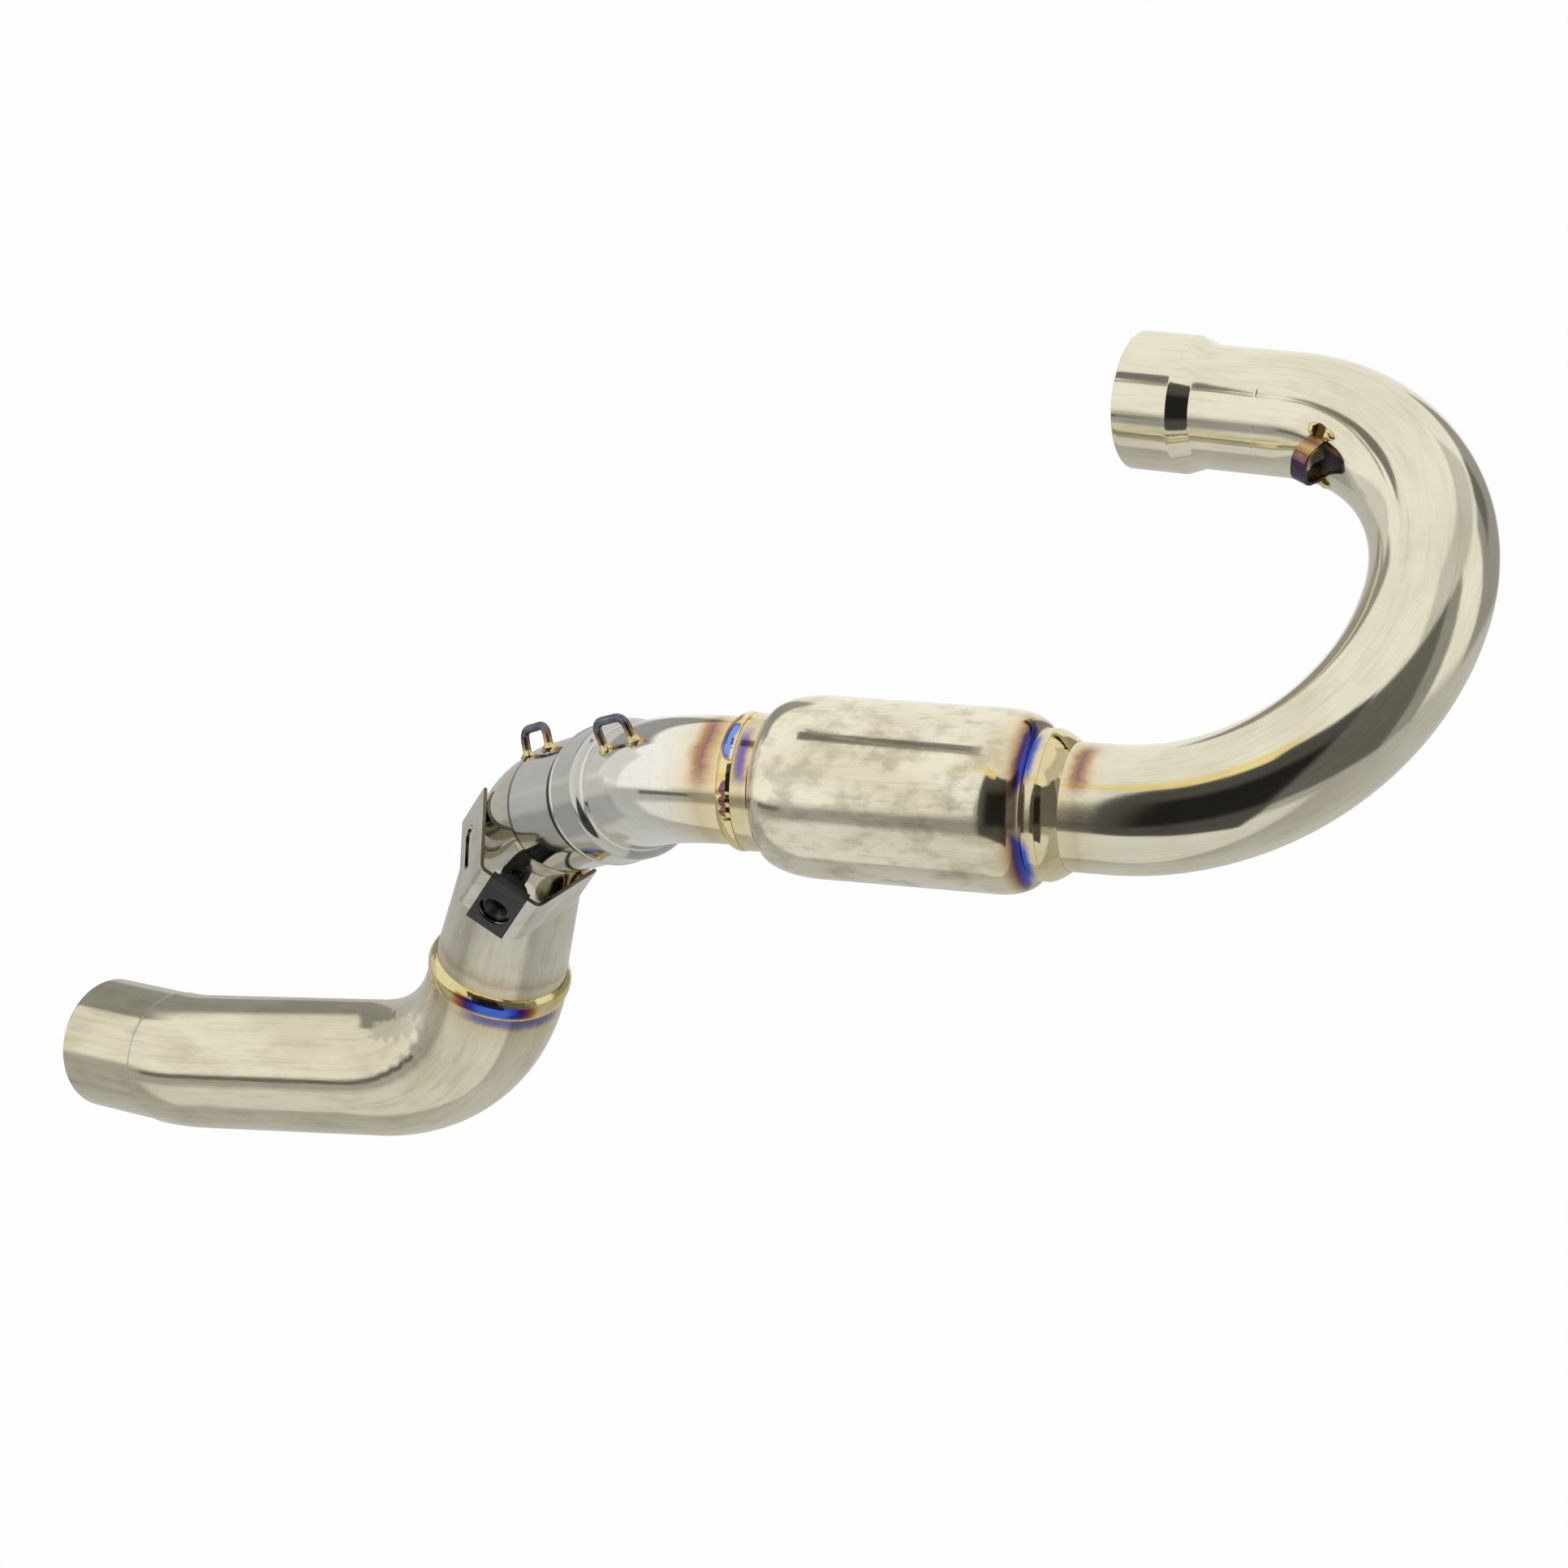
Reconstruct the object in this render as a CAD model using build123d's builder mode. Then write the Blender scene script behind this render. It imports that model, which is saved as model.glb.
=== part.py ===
# Motorcycle exhaust header in two pipes: a head pipe with a resonance bulb, and a mid pipe
# that slips into it.  Millimetres and degrees.  The origin is the centre of the inlet mouth,
# +X is the way the pipe leaves the cylinder head (forward), +Y is left and +Z is up.

import os
from math import cos, radians, sin

from build123d import *

os.makedirs("parts", exist_ok=True)

# Tube stock
wall = 1.2
head_diameter = 41.3
link_diameter = 42.0
mid_diameter = 43.2
cone_end_diameter = 48.2
tail_diameter = 50.8
nest_gap = 0.05            # room between a tube and what sits over it

# Head pipe: inlet socket and U-bend
socket_bore = 43.8
socket_length = 19.5
socket_taper = 7.0
inlet_run = 56.6
first_turn_angle = -40.6         # turn of the bend's plane about the pipe
first_bend_angle = 90.2
first_radius = 63.5
between_run = 0.7
second_turn_angle = -6.3
second_bend_angle = 82.6
second_radius = 88.5
lead_run = 22.0            # straight end that reaches into the bulb

# Resonance bulb, measured along the straight after the U-bend
bulb_diameter = 59.4
bulb_wall = 1.5
bulb_start = 18.6
bulb_mouth_diameter = 48.8
bulb_mouth_length = 4.4
front_shoulder = 12.3
bulb_barrel = 60.0
rear_shoulder = 18.4
rear_shoulder_drop = 6.6   # from the barrel down to the neck's ring
bulb_neck_length = 7.4

# Weld beads
bead_width = 6.4
bead_crown = 0.9
outlet_bead_width = 5.4
mid_bead_width = 8.2

# Link pipe: from the bulb's neck to the slip sleeve
link_lead = 6.1            # straight between the neck and the bend
third_turn_angle = 78.3
third_bend_angle = 44.4
third_radius = 48.0
link_run = 13.3
sleeve_taper = 3.0
sleeve_length = 17.7

# Slip joint
collar_thickness = 1.1
slip_clearance = 0.05
slip_depth = 16.5
collar_showing = 39.5

# Mid pipe and tail pipe
mid_run = 43.9             # from the sleeve's rim to the elbow
fourth_turn_angle = 73.1
fourth_bend_angle = 47.3
fourth_radius = 55.0
cone_run = 44.6
cone_insert = 5.0
tail_lead = 6.0
fifth_turn_angle = 142.3
fifth_bend_angle = 62.0
fifth_radius = 70.8
tail_run = 81.0
sixth_turn_angle = 80.1
sixth_bend_angle = 11.9
sixth_radius = 73.7
end_lead = 2.6
end_length = 37.3
end_diameter = 50.0
end_step = 1.5

# Wire spring hooks at the slip joint, placed by the sleeve's rim and the turn round the slip axis
wire_diameter = 3.0
hook_span = 16.0
hook_height = 10.0
hook_corner_radius = 4.0
hook_lean_angle = 28.0           # towards the top of the pipe
hook_root = 4.0            # spare wire below the surface, trimmed to the pipe
hook_weld_radius = 3.2
sleeve_hook_back = 40.0
sleeve_hook_angle = -157.0
sleeve_hook_skew_angle = 6.0     # turn of the feet out of line with the slip axis
collar_hook_ahead = 30.8
collar_hook_angle = -139.5
collar_hook_skew_angle = 5.0

# Strap spring hook inside the U-bend
strap_thickness = 1.5
strap_width = 6.1
strap_span = 14.3
strap_height = 8.9
strap_corner_radius = 5.4
strap_station_angle = 20.1       # degrees into the first bend
strap_angle = -29.8        # round the pipe from the bend's inner side
strap_weld_radius = 3.4

# Mount bracket: a folded channel on the elbow
sheet = 1.5
bracket_length = 21.5
web_width = 23.7
web_height = 38.5          # from the pipe's axis to the web's outer face
near_flare_angle = 17.8          # lean and depth of the two side walls
near_depth = 29.7
far_flare_angle = 25.5
far_depth = 34.4
fold_radius = 2.5
bracket_station = -17.1    # centre, from the start of the cone
bracket_angle = 42.4
bracket_shift = -5.4
bracket_twist_angle = -16.7
bracket_slope_angle = -11.2
slot_width = 7.0
slot_length = 18.0
slot_drop = 18.0           # from the web, down the far wall's slope
slot_offset = 2.5          # towards the bracket's lower end
bracket_weld_radius = 2.8
bracket_weld_length = 13.0

# Clip nut on the web's edge
clip_sheet = 0.8
clip_width = 15.0
clip_front = 24.0
clip_back = 21.0
clip_overhang = 1.2        # of the fold past the web's edge
clip_window = 11.8
clip_fold_radius = 1.4
clip_setback = 14.2        # from the web's edge to the nut's axis
cup_wall = 0.8
cup_depth = 10.0
nut_flats = 10.0
nut_height = 10.4
nut_bore = 5.2
nut_room = 0.2
screw_hole = 7.0

head_radius = head_diameter / 2
link_radius = link_diameter / 2
mid_radius = mid_diameter / 2
tail_radius = tail_diameter / 2
collar_radius = mid_radius + collar_thickness
sleeve_bore = collar_radius + slip_clearance
sleeve_outer = sleeve_bore + wall


# The pipe's path is walked with a plane: Z along the pipe, X towards the inside of the next bend
def ahead(plane, length):
    return plane.offset(length)


def turned(plane, angle):
    return Plane(plane.location * Location((0, 0, 0), (0, 0, angle)))


def bent(plane, radius, angle):
    centre = Location((radius, 0, 0))
    return Plane(plane.location * centre * Location((0, 0, 0), (0, angle, 0)) * centre.inverse())


inlet_plane = Plane(origin=(0, 0, 0), x_dir=(0, 0, -1), z_dir=(1, 0, 0))
first_start = turned(ahead(inlet_plane, inlet_run), first_turn_angle)
first_end = bent(first_start, first_radius, first_bend_angle)
second_start = turned(ahead(first_end, between_run), second_turn_angle)
lead_plane = bent(second_start, second_radius, second_bend_angle)
bulb_length = bulb_mouth_length + front_shoulder + bulb_barrel + rear_shoulder + bulb_neck_length
neck_end = ahead(lead_plane, bulb_start + bulb_length)
third_start = turned(ahead(neck_end, link_lead), third_turn_angle)
third_end = bent(third_start, third_radius, third_bend_angle)
rim_plane = ahead(third_end, link_run + sleeve_taper + sleeve_length)
fourth_start = turned(ahead(rim_plane, mid_run), fourth_turn_angle)
cone_plane = bent(fourth_start, fourth_radius, fourth_bend_angle)
tail_plane = ahead(cone_plane, cone_run)
fifth_start = turned(ahead(tail_plane, tail_lead), fifth_turn_angle)
fifth_end = bent(fifth_start, fifth_radius, fifth_bend_angle)
sixth_start = turned(ahead(fifth_end, tail_run), sixth_turn_angle)
sixth_end = bent(sixth_start, sixth_radius, sixth_bend_angle)


# Tube pieces added to the part that is being built; a bore of 0 gives a solid bar
def section(plane, radius, bore):
    with BuildSketch(plane) as ring:
        Circle(radius)
        if bore > 0:
            Circle(bore, mode=Mode.SUBTRACT)
    return ring.sketch


def straight_tube(plane, radius, bore, length):
    extrude(section(plane, radius, bore), amount=length)


def bent_tube(plane, radius, bore, bend_radius, angle):
    pivot = Axis(plane.origin + plane.x_dir * bend_radius, plane.y_dir)
    revolve(section(plane, radius, bore), axis=pivot, revolution_arc=angle)


def axial_plane(plane):
    return Plane(origin=plane.origin, x_dir=plane.z_dir, z_dir=plane.y_dir)


def turned_ring(plane, *corners):
    """Ring turned about the pipe from corners given as (along the pipe, radius)."""
    with BuildSketch(axial_plane(plane)) as profile:
        with BuildLine():
            Polyline(*[(along, -radius) for along, radius in corners], close=True)
        make_face()
    revolve(profile.sketch, axis=Axis(plane.origin, plane.z_dir))


def weld_bead(plane, seat, crown):
    """Bead turned about the pipe: a seat of straight sides and one round face through crown."""
    with BuildSketch(axial_plane(plane)) as profile:
        with BuildLine():
            Polyline(*[(along, -radius) for along, radius in seat])
            ThreePointArc((seat[-1][0], -seat[-1][1]), (crown[0], -crown[1]), (seat[0][0], -seat[0][1]))
        make_face()
    revolve(profile.sketch, axis=Axis(plane.origin, plane.z_dir))


def finish(builder, name):
    builder.part.label = name
    export_step(builder.part, f"parts/{name}.step")


# Head pipe
socket_radius = socket_bore / 2 + wall
with BuildPart() as head_pipe:
    turned_ring(
        inlet_plane,
        (0, socket_bore / 2),
        (0, socket_radius),
        (socket_length, socket_radius),
        (socket_length + socket_taper, head_radius),
        (inlet_run, head_radius),
        (inlet_run, head_radius - wall),
        (socket_length + socket_taper, head_radius - wall),
        (socket_length, socket_bore / 2),
    )
    bent_tube(first_start, head_radius, head_radius - wall, first_radius, first_bend_angle)
    straight_tube(ahead(first_end, 0), head_radius, head_radius - wall, between_run)
    bent_tube(second_start, head_radius, head_radius - wall, second_radius, second_bend_angle)
    straight_tube(lead_plane, head_radius, head_radius - wall, lead_run)
finish(head_pipe, "head_pipe")

# Resonance bulb: a spun shell that closes on the head pipe at one end and the link pipe at the other
bulb_plane = ahead(lead_plane, bulb_start)
bulb_radius = bulb_diameter / 2
mouth_radius = bulb_mouth_diameter / 2
neck_radius = link_radius + nest_gap + bulb_wall
barrel_start = bulb_mouth_length + front_shoulder
barrel_end = barrel_start + bulb_barrel
dome_end = barrel_end + rear_shoulder


def bulb_body(inset):
    """Half outline of the bulb without its neck, drawn in by inset all round."""
    outer = bulb_radius - inset
    mouth = mouth_radius - inset
    with BuildSketch(axial_plane(bulb_plane)) as profile:
        with BuildLine():
            Line((inset, 0), (inset, -mouth))
            Line((inset, -mouth), (bulb_mouth_length + inset, -mouth))
            front = EllipticalCenterArc(
                (barrel_start, -mouth),
                front_shoulder - inset,
                outer - mouth,
                start_angle=180,
                arc_size=90,
            )
            Line(front @ 1, (barrel_end, -outer))
            rear = EllipticalCenterArc(
                (barrel_end, -outer + rear_shoulder_drop),
                rear_shoulder - inset,
                rear_shoulder_drop,
                start_angle=270,
                arc_size=90,
            )
            Line(rear @ 1, (dome_end - inset, 0))
            Line((dome_end - inset, 0), (inset, 0))
        make_face()
    return profile.sketch


with BuildPart() as resonance_bulb:
    bulb_axis = Axis(bulb_plane.origin, bulb_plane.z_dir)
    revolve(bulb_body(0), axis=bulb_axis)
    neck = section(ahead(bulb_plane, dome_end - bulb_wall), neck_radius, 0)
    extrude(neck, amount=bulb_wall + bulb_neck_length)
    revolve(bulb_body(bulb_wall), axis=bulb_axis, mode=Mode.SUBTRACT)
    extrude(section(bulb_plane, head_radius + nest_gap, 0), amount=2 * bulb_wall, mode=Mode.SUBTRACT)
    rear_bore = section(ahead(bulb_plane, dome_end - 2 * bulb_wall), link_radius + nest_gap, 0)
    extrude(rear_bore, amount=2 * bulb_wall + bulb_neck_length, mode=Mode.SUBTRACT)
finish(resonance_bulb, "resonance_bulb")

# Link pipe: slips into the bulb's neck, bends and opens into the slip sleeve
link_insert = bulb_neck_length + bulb_wall
with BuildPart() as link_pipe:
    straight_tube(ahead(neck_end, -link_insert), link_radius, link_radius - wall, link_insert + link_lead)
    bent_tube(third_start, link_radius, link_radius - wall, third_radius, third_bend_angle)
    turned_ring(
        third_end,
        (0, link_radius - wall),
        (0, link_radius),
        (link_run, link_radius),
        (link_run + sleeve_taper, sleeve_outer),
        (link_run + sleeve_taper + sleeve_length, sleeve_outer),
        (link_run + sleeve_taper + sleeve_length, sleeve_bore),
        (link_run + sleeve_taper, sleeve_bore),
        (link_run, link_radius - wall),
    )
finish(link_pipe, "link_pipe")

# Weld beads at the two ends of the bulb
with BuildPart() as bulb_inlet_weld:
    weld_bead(
        ahead(bulb_plane, 0),
        [(-bead_width, head_radius + nest_gap), (0, head_radius + nest_gap), (0, mouth_radius)],
        (-bead_width / 2 - bead_crown / 2, (head_radius + mouth_radius) / 2 + bead_crown),
    )
finish(bulb_inlet_weld, "bulb_inlet_weld")

with BuildPart() as bulb_outlet_weld:
    weld_bead(
        neck_end,
        [(0, neck_radius), (0, link_radius + nest_gap), (outlet_bead_width, link_radius + nest_gap)],
        (outlet_bead_width / 2, (neck_radius + link_radius) / 2 + bead_crown),
    )
finish(bulb_outlet_weld, "bulb_outlet_weld")

# Mid pipe: its end slides in the sleeve; it bends and opens into a cone that enters the tail pipe
cone_radius = cone_end_diameter / 2
with BuildPart() as mid_pipe:
    straight_tube(ahead(rim_plane, -slip_depth), mid_radius, mid_radius - wall, slip_depth + mid_run)
    bent_tube(fourth_start, mid_radius, mid_radius - wall, fourth_radius, fourth_bend_angle)
    turned_ring(
        cone_plane,
        (0, mid_radius - wall),
        (0, mid_radius),
        (cone_run, cone_radius),
        (cone_run + cone_insert, cone_radius),
        (cone_run + cone_insert, cone_radius - wall),
        (cone_run, cone_radius - wall),
    )
finish(mid_pipe, "mid_pipe")

# Slip collar: a turned sleeve over the mid pipe's end, carrying the sliding fit
with BuildPart() as slip_collar:
    collar_plane = ahead(rim_plane, -slip_depth)
    straight_tube(collar_plane, collar_radius, mid_radius, slip_depth + collar_showing)
finish(slip_collar, "slip_collar")

# Tail pipe: two bends and an end reduced for the silencer
tail_bore = tail_radius - wall
with BuildPart() as tail_pipe:
    straight_tube(tail_plane, tail_radius, tail_bore, tail_lead)
    bent_tube(fifth_start, tail_radius, tail_bore, fifth_radius, fifth_bend_angle)
    straight_tube(fifth_end, tail_radius, tail_bore, tail_run)
    bent_tube(sixth_start, tail_radius, tail_bore, sixth_radius, sixth_bend_angle)
    turned_ring(
        sixth_end,
        (0, tail_bore),
        (0, tail_radius),
        (end_lead - end_step, tail_radius),
        (end_lead, end_diameter / 2),
        (end_lead + end_length, end_diameter / 2),
        (end_lead + end_length, end_diameter / 2 - wall),
        (end_lead, end_diameter / 2 - wall),
        (end_lead - end_step, tail_bore),
    )
finish(tail_pipe, "tail_pipe")

# Weld bead between cone and tail pipe
cone_slope = (cone_radius - mid_radius) / cone_run
with BuildPart() as mid_weld:
    weld_bead(
        tail_plane,
        [
            (-mid_bead_width / 2, cone_radius + nest_gap - mid_bead_width / 2 * cone_slope),
            (-nest_gap, cone_radius + nest_gap),
            (-nest_gap, tail_radius + nest_gap),
            (mid_bead_width / 2, tail_radius + nest_gap),
        ],
        (-mid_bead_width / 8, tail_radius + bead_crown / 2),
    )
finish(mid_weld, "mid_weld")

# Solid forms of the pipes, a nest gap larger, which trim whatever is welded on them
with BuildPart() as head_form:
    bent_tube(first_start, head_radius + nest_gap, 0, first_radius, first_bend_angle)
    straight_tube(ahead(first_start, -socket_taper), head_radius + nest_gap, 0, socket_taper)

with BuildPart() as link_form:
    bent_tube(third_start, link_radius + nest_gap, 0, third_radius, third_bend_angle)
    turned_ring(
        third_end,
        (0, 0),
        (0, link_radius + nest_gap),
        (link_run, link_radius + nest_gap),
        (link_run + sleeve_taper, sleeve_outer + nest_gap),
        (link_run + sleeve_taper + sleeve_length, sleeve_outer + nest_gap),
        (link_run + sleeve_taper + sleeve_length, 0),
    )

with BuildPart() as mid_form:
    straight_tube(rim_plane, collar_radius + nest_gap, 0, collar_showing + nest_gap)
    straight_tube(rim_plane, mid_radius + nest_gap, 0, mid_run)
    bent_tube(fourth_start, mid_radius + nest_gap, 0, fourth_radius, fourth_bend_angle)
    turned_ring(
        cone_plane,
        (0, 0),
        (0, mid_radius + nest_gap),
        (cone_run, cone_radius + nest_gap),
        (cone_run, 0),
    )


# Wire staple on the slip joint: both feet on the pipe, one behind the other along the slip axis
def hook_plane(station, angle, radius, skew):
    foot = Plane(ahead(rim_plane, station).location * Location((0, 0, 0), (0, 0, angle)))
    stand = Location((radius, 0, 0)) * Location((0, 0, 0), (0, 0, hook_lean_angle))
    twist = Location((0, 0, 0), (skew, 0, 0))
    upright = Plane(foot.location * stand * twist)
    return Plane(origin=upright.origin, x_dir=upright.z_dir, z_dir=upright.y_dir)


def staple(plane, diameter):
    with BuildLine(plane) as bend:
        FilletPolyline(
            (-hook_span / 2, -hook_root),
            (-hook_span / 2, hook_height - wire_diameter / 2),
            (hook_span / 2, hook_height - wire_diameter / 2),
            (hook_span / 2, -hook_root),
            radius=hook_corner_radius,
        )
    with BuildSketch(Plane(origin=bend.line @ 0, z_dir=bend.line % 0)) as wire:
        Circle(diameter / 2)
    sweep(wire.sketch, path=bend.line)


def foot_weld(plane, side, form, hook, reach):
    """Round bead at one foot of a hook, cut to the pipe and to the hook."""
    with BuildPart() as bead:
        with Locations(plane.location * Location((side, 0, 0))):
            Sphere(reach)
        add(form, mode=Mode.SUBTRACT)
        add(hook, mode=Mode.SUBTRACT)
    return bead


sleeve_hook_plane = hook_plane(-sleeve_hook_back, sleeve_hook_angle, link_radius, sleeve_hook_skew_angle)
with BuildPart() as sleeve_hook:
    staple(sleeve_hook_plane, wire_diameter)
    add(link_form.part, mode=Mode.SUBTRACT)
finish(sleeve_hook, "sleeve_hook")

collar_hook_plane = hook_plane(collar_hook_ahead, collar_hook_angle, collar_radius, collar_hook_skew_angle)
with BuildPart() as collar_hook:
    staple(collar_hook_plane, wire_diameter)
    add(mid_form.part, mode=Mode.SUBTRACT)
finish(collar_hook, "collar_hook")

with BuildPart() as sleeve_wire:
    staple(sleeve_hook_plane, wire_diameter + 2 * nest_gap)

with BuildPart() as collar_wire:
    staple(collar_hook_plane, wire_diameter + 2 * nest_gap)

half_hook = hook_span / 2
finish(
    foot_weld(sleeve_hook_plane, half_hook, link_form.part, sleeve_wire.part, hook_weld_radius),
    "sleeve_hook_weld_front",
)
finish(
    foot_weld(sleeve_hook_plane, -half_hook, link_form.part, sleeve_wire.part, hook_weld_radius),
    "sleeve_hook_weld_rear",
)
finish(
    foot_weld(collar_hook_plane, half_hook, mid_form.part, collar_wire.part, hook_weld_radius),
    "collar_hook_weld_front",
)
finish(
    foot_weld(collar_hook_plane, -half_hook, mid_form.part, collar_wire.part, hook_weld_radius),
    "collar_hook_weld_rear",
)

# Strap hook: a flat strap arched across the inside of the U-bend
strap_place = bent(first_start, first_radius, strap_station_angle)
strap_plane = turned(strap_place, strap_angle)
strap_foot = (head_radius**2 - (strap_span / 2) ** 2) ** 0.5 - strap_thickness


def strap(thickness):
    with BuildSketch(strap_plane) as band:
        with BuildLine():
            FilletPolyline(
                (strap_foot, -strap_span / 2),
                (head_radius + strap_height - strap_thickness / 2, -strap_span / 2 + strap_thickness),
                (head_radius + strap_height - strap_thickness / 2, strap_span / 2 - strap_thickness),
                (strap_foot, strap_span / 2),
                radius=strap_corner_radius,
            )
            offset(amount=thickness / 2, kind=Kind.INTERSECTION)
        make_face()
    extrude(band.sketch, amount=strap_width / 2, both=True)


with BuildPart() as strap_hook:
    strap(strap_thickness)
    add(head_form.part, mode=Mode.SUBTRACT)
finish(strap_hook, "strap_hook")

with BuildPart() as strap_band:
    strap(strap_thickness + 2 * nest_gap)

strap_weld_plane = ahead(strap_plane, 0)
strap_seat = strap_foot + strap_thickness
for side, name in ((-1, "strap_hook_weld_upper"), (1, "strap_hook_weld_lower")):
    with BuildPart() as strap_weld:
        strap_edge = side * (strap_span / 2 + strap_thickness)
        with Locations(strap_weld_plane.location * Location((strap_seat, strap_edge, 0))):
            Sphere(strap_weld_radius)
        add(head_form.part, mode=Mode.SUBTRACT)
        add(strap_band.part, mode=Mode.SUBTRACT)
        with Locations(strap_weld_plane.location):
            Box(4 * strap_span, strap_span, 4 * strap_width, mode=Mode.SUBTRACT)
    finish(strap_weld, name)

# Mount bracket: one folded sheet, a web and two leaning walls, cut to the pipe
bracket_turn = Location((0, 0, 0), (0, 0, bracket_angle)) * Location((0, bracket_shift, 0))
bracket_lie = Location((0, 0, 0), (bracket_twist_angle, 0, 0))
bracket_lie = bracket_lie * Location((0, 0, 0), (0, bracket_slope_angle, 0))
bracket_plane = Plane(ahead(cone_plane, bracket_station).location * bracket_turn * bracket_lie)
web_middle = web_height - sheet / 2
half_web = web_width / 2
near_foot = (
    web_middle - near_depth * cos(radians(near_flare_angle)),
    -half_web - near_depth * sin(radians(near_flare_angle)),
)
far_foot = (
    web_middle - far_depth * cos(radians(far_flare_angle)),
    half_web + far_depth * sin(radians(far_flare_angle)),
)
nut_station = clip_setback - bracket_length / 2


def web_plane(height):
    """Plane across the clip nut's axis, facing out of the web."""
    place = Plane(bracket_plane.location * Location((height, 0, nut_station)))
    return Plane(origin=place.origin, x_dir=place.y_dir, z_dir=place.x_dir)


with BuildPart() as mount_bracket:
    with BuildSketch(ahead(bracket_plane, -bracket_length / 2)) as channel:
        with BuildLine():
            FilletPolyline(
                near_foot,
                (web_middle, -half_web),
                (web_middle, half_web),
                far_foot,
                radius=fold_radius,
            )
            offset(amount=sheet / 2, kind=Kind.INTERSECTION)
        make_face()
    extrude(amount=bracket_length)
    add(mid_form.part, mode=Mode.SUBTRACT)
    with BuildSketch(web_plane(web_middle)):
        Circle(clip_window / 2)
    extrude(amount=sheet, both=True, mode=Mode.SUBTRACT)
    slot_x = web_middle - slot_drop * cos(radians(far_flare_angle))
    slot_y = half_web + slot_drop * sin(radians(far_flare_angle))
    slot_place = Location((slot_x, slot_y, slot_offset)) * Location((0, 0, 0), (0, 0, 90 - far_flare_angle))
    slot_face = Plane(bracket_plane.location * slot_place)
    with BuildSketch(Plane(origin=slot_face.origin, x_dir=slot_face.y_dir, z_dir=slot_face.x_dir)):
        SlotOverall(slot_length, slot_width)
    extrude(amount=2 * sheet, both=True, mode=Mode.SUBTRACT)
finish(mount_bracket, "mount_bracket")

# Clip nut: a spring-steel clip folded over the web's edge, with a cup that cages a hex nut
clip_side = Plane(origin=bracket_plane.origin, x_dir=bracket_plane.z_dir, z_dir=bracket_plane.y_dir)
front_face = web_height + nest_gap
back_face = web_height - sheet - nest_gap
edge = -bracket_length / 2
cup_bore = nut_flats / cos(radians(30)) + 2 * nut_room
cup_floor = back_face - clip_sheet - cup_depth

with BuildPart() as nut_clip:
    with BuildSketch(clip_side) as clip_fold:
        with BuildLine():
            Polyline(
                (edge + clip_front, front_face),
                (edge + clip_front, front_face + clip_sheet),
                (edge - clip_overhang, front_face + clip_sheet),
                (edge - clip_overhang, back_face - clip_sheet),
                (edge + clip_back, back_face - clip_sheet),
                (edge + clip_back, back_face),
                (edge - clip_overhang + clip_sheet, back_face),
                (edge - clip_overhang + clip_sheet, front_face),
                close=True,
            )
        make_face()
    extrude(amount=clip_width / 2, both=True)
    fold_edges = nut_clip.edges().filter_by(Axis(bracket_plane.origin, bracket_plane.y_dir))
    fillet(fold_edges.sort_by(Axis(bracket_plane.origin, bracket_plane.z_dir))[:2], clip_fold_radius)
    with BuildSketch(web_plane(front_face)):
        Circle(clip_window / 2)
    extrude(amount=2 * clip_sheet, mode=Mode.SUBTRACT)
    with BuildSketch(web_plane(back_face)):
        Circle(cup_bore / 2 + cup_wall)
    extrude(amount=cup_floor - back_face)
    with BuildSketch(web_plane(back_face)):
        Circle(cup_bore / 2)
    extrude(amount=cup_floor - back_face + cup_wall, mode=Mode.SUBTRACT)
    with BuildSketch(web_plane(back_face)):
        Circle(screw_hole / 2)
    extrude(amount=cup_floor - back_face, mode=Mode.SUBTRACT)
finish(nut_clip, "nut_clip")

with BuildPart() as clip_nut:
    with BuildSketch(web_plane(cup_floor + cup_wall + nest_gap)):
        RegularPolygon(nut_flats / 2, 6, major_radius=False)
        Circle(nut_bore / 2, mode=Mode.SUBTRACT)
    extrude(amount=nut_height)
finish(clip_nut, "clip_nut")

# Bracket welds: one short bead inside each wall's foot, between wall and pipe
for foot, flare, side, name in (
    (near_foot, near_flare_angle, -1, "bracket_weld_near"),
    (far_foot, far_flare_angle, 1, "bracket_weld_far"),
):
    with BuildPart() as bracket_weld:
        inward = (sheet + bracket_weld_radius) / 2
        centre = (foot[0] - inward * sin(radians(flare)), foot[1] - side * inward * cos(radians(flare)))
        with BuildSketch(ahead(bracket_plane, -bracket_weld_length / 2)):
            with Locations(centre):
                Circle(bracket_weld_radius)
        extrude(amount=bracket_weld_length)
        fillet(bracket_weld.edges(), bracket_weld_radius / 2)
        add(mid_form.part, mode=Mode.SUBTRACT)
        add(mount_bracket.part, mode=Mode.SUBTRACT)
    finish(bracket_weld, name)
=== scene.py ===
from functools import partialmethod
from math import cos, pi, radians, sin

import bmesh
import bpy
import numpy as np
from mathutils import Matrix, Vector
from numpy.linalg import norm


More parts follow.
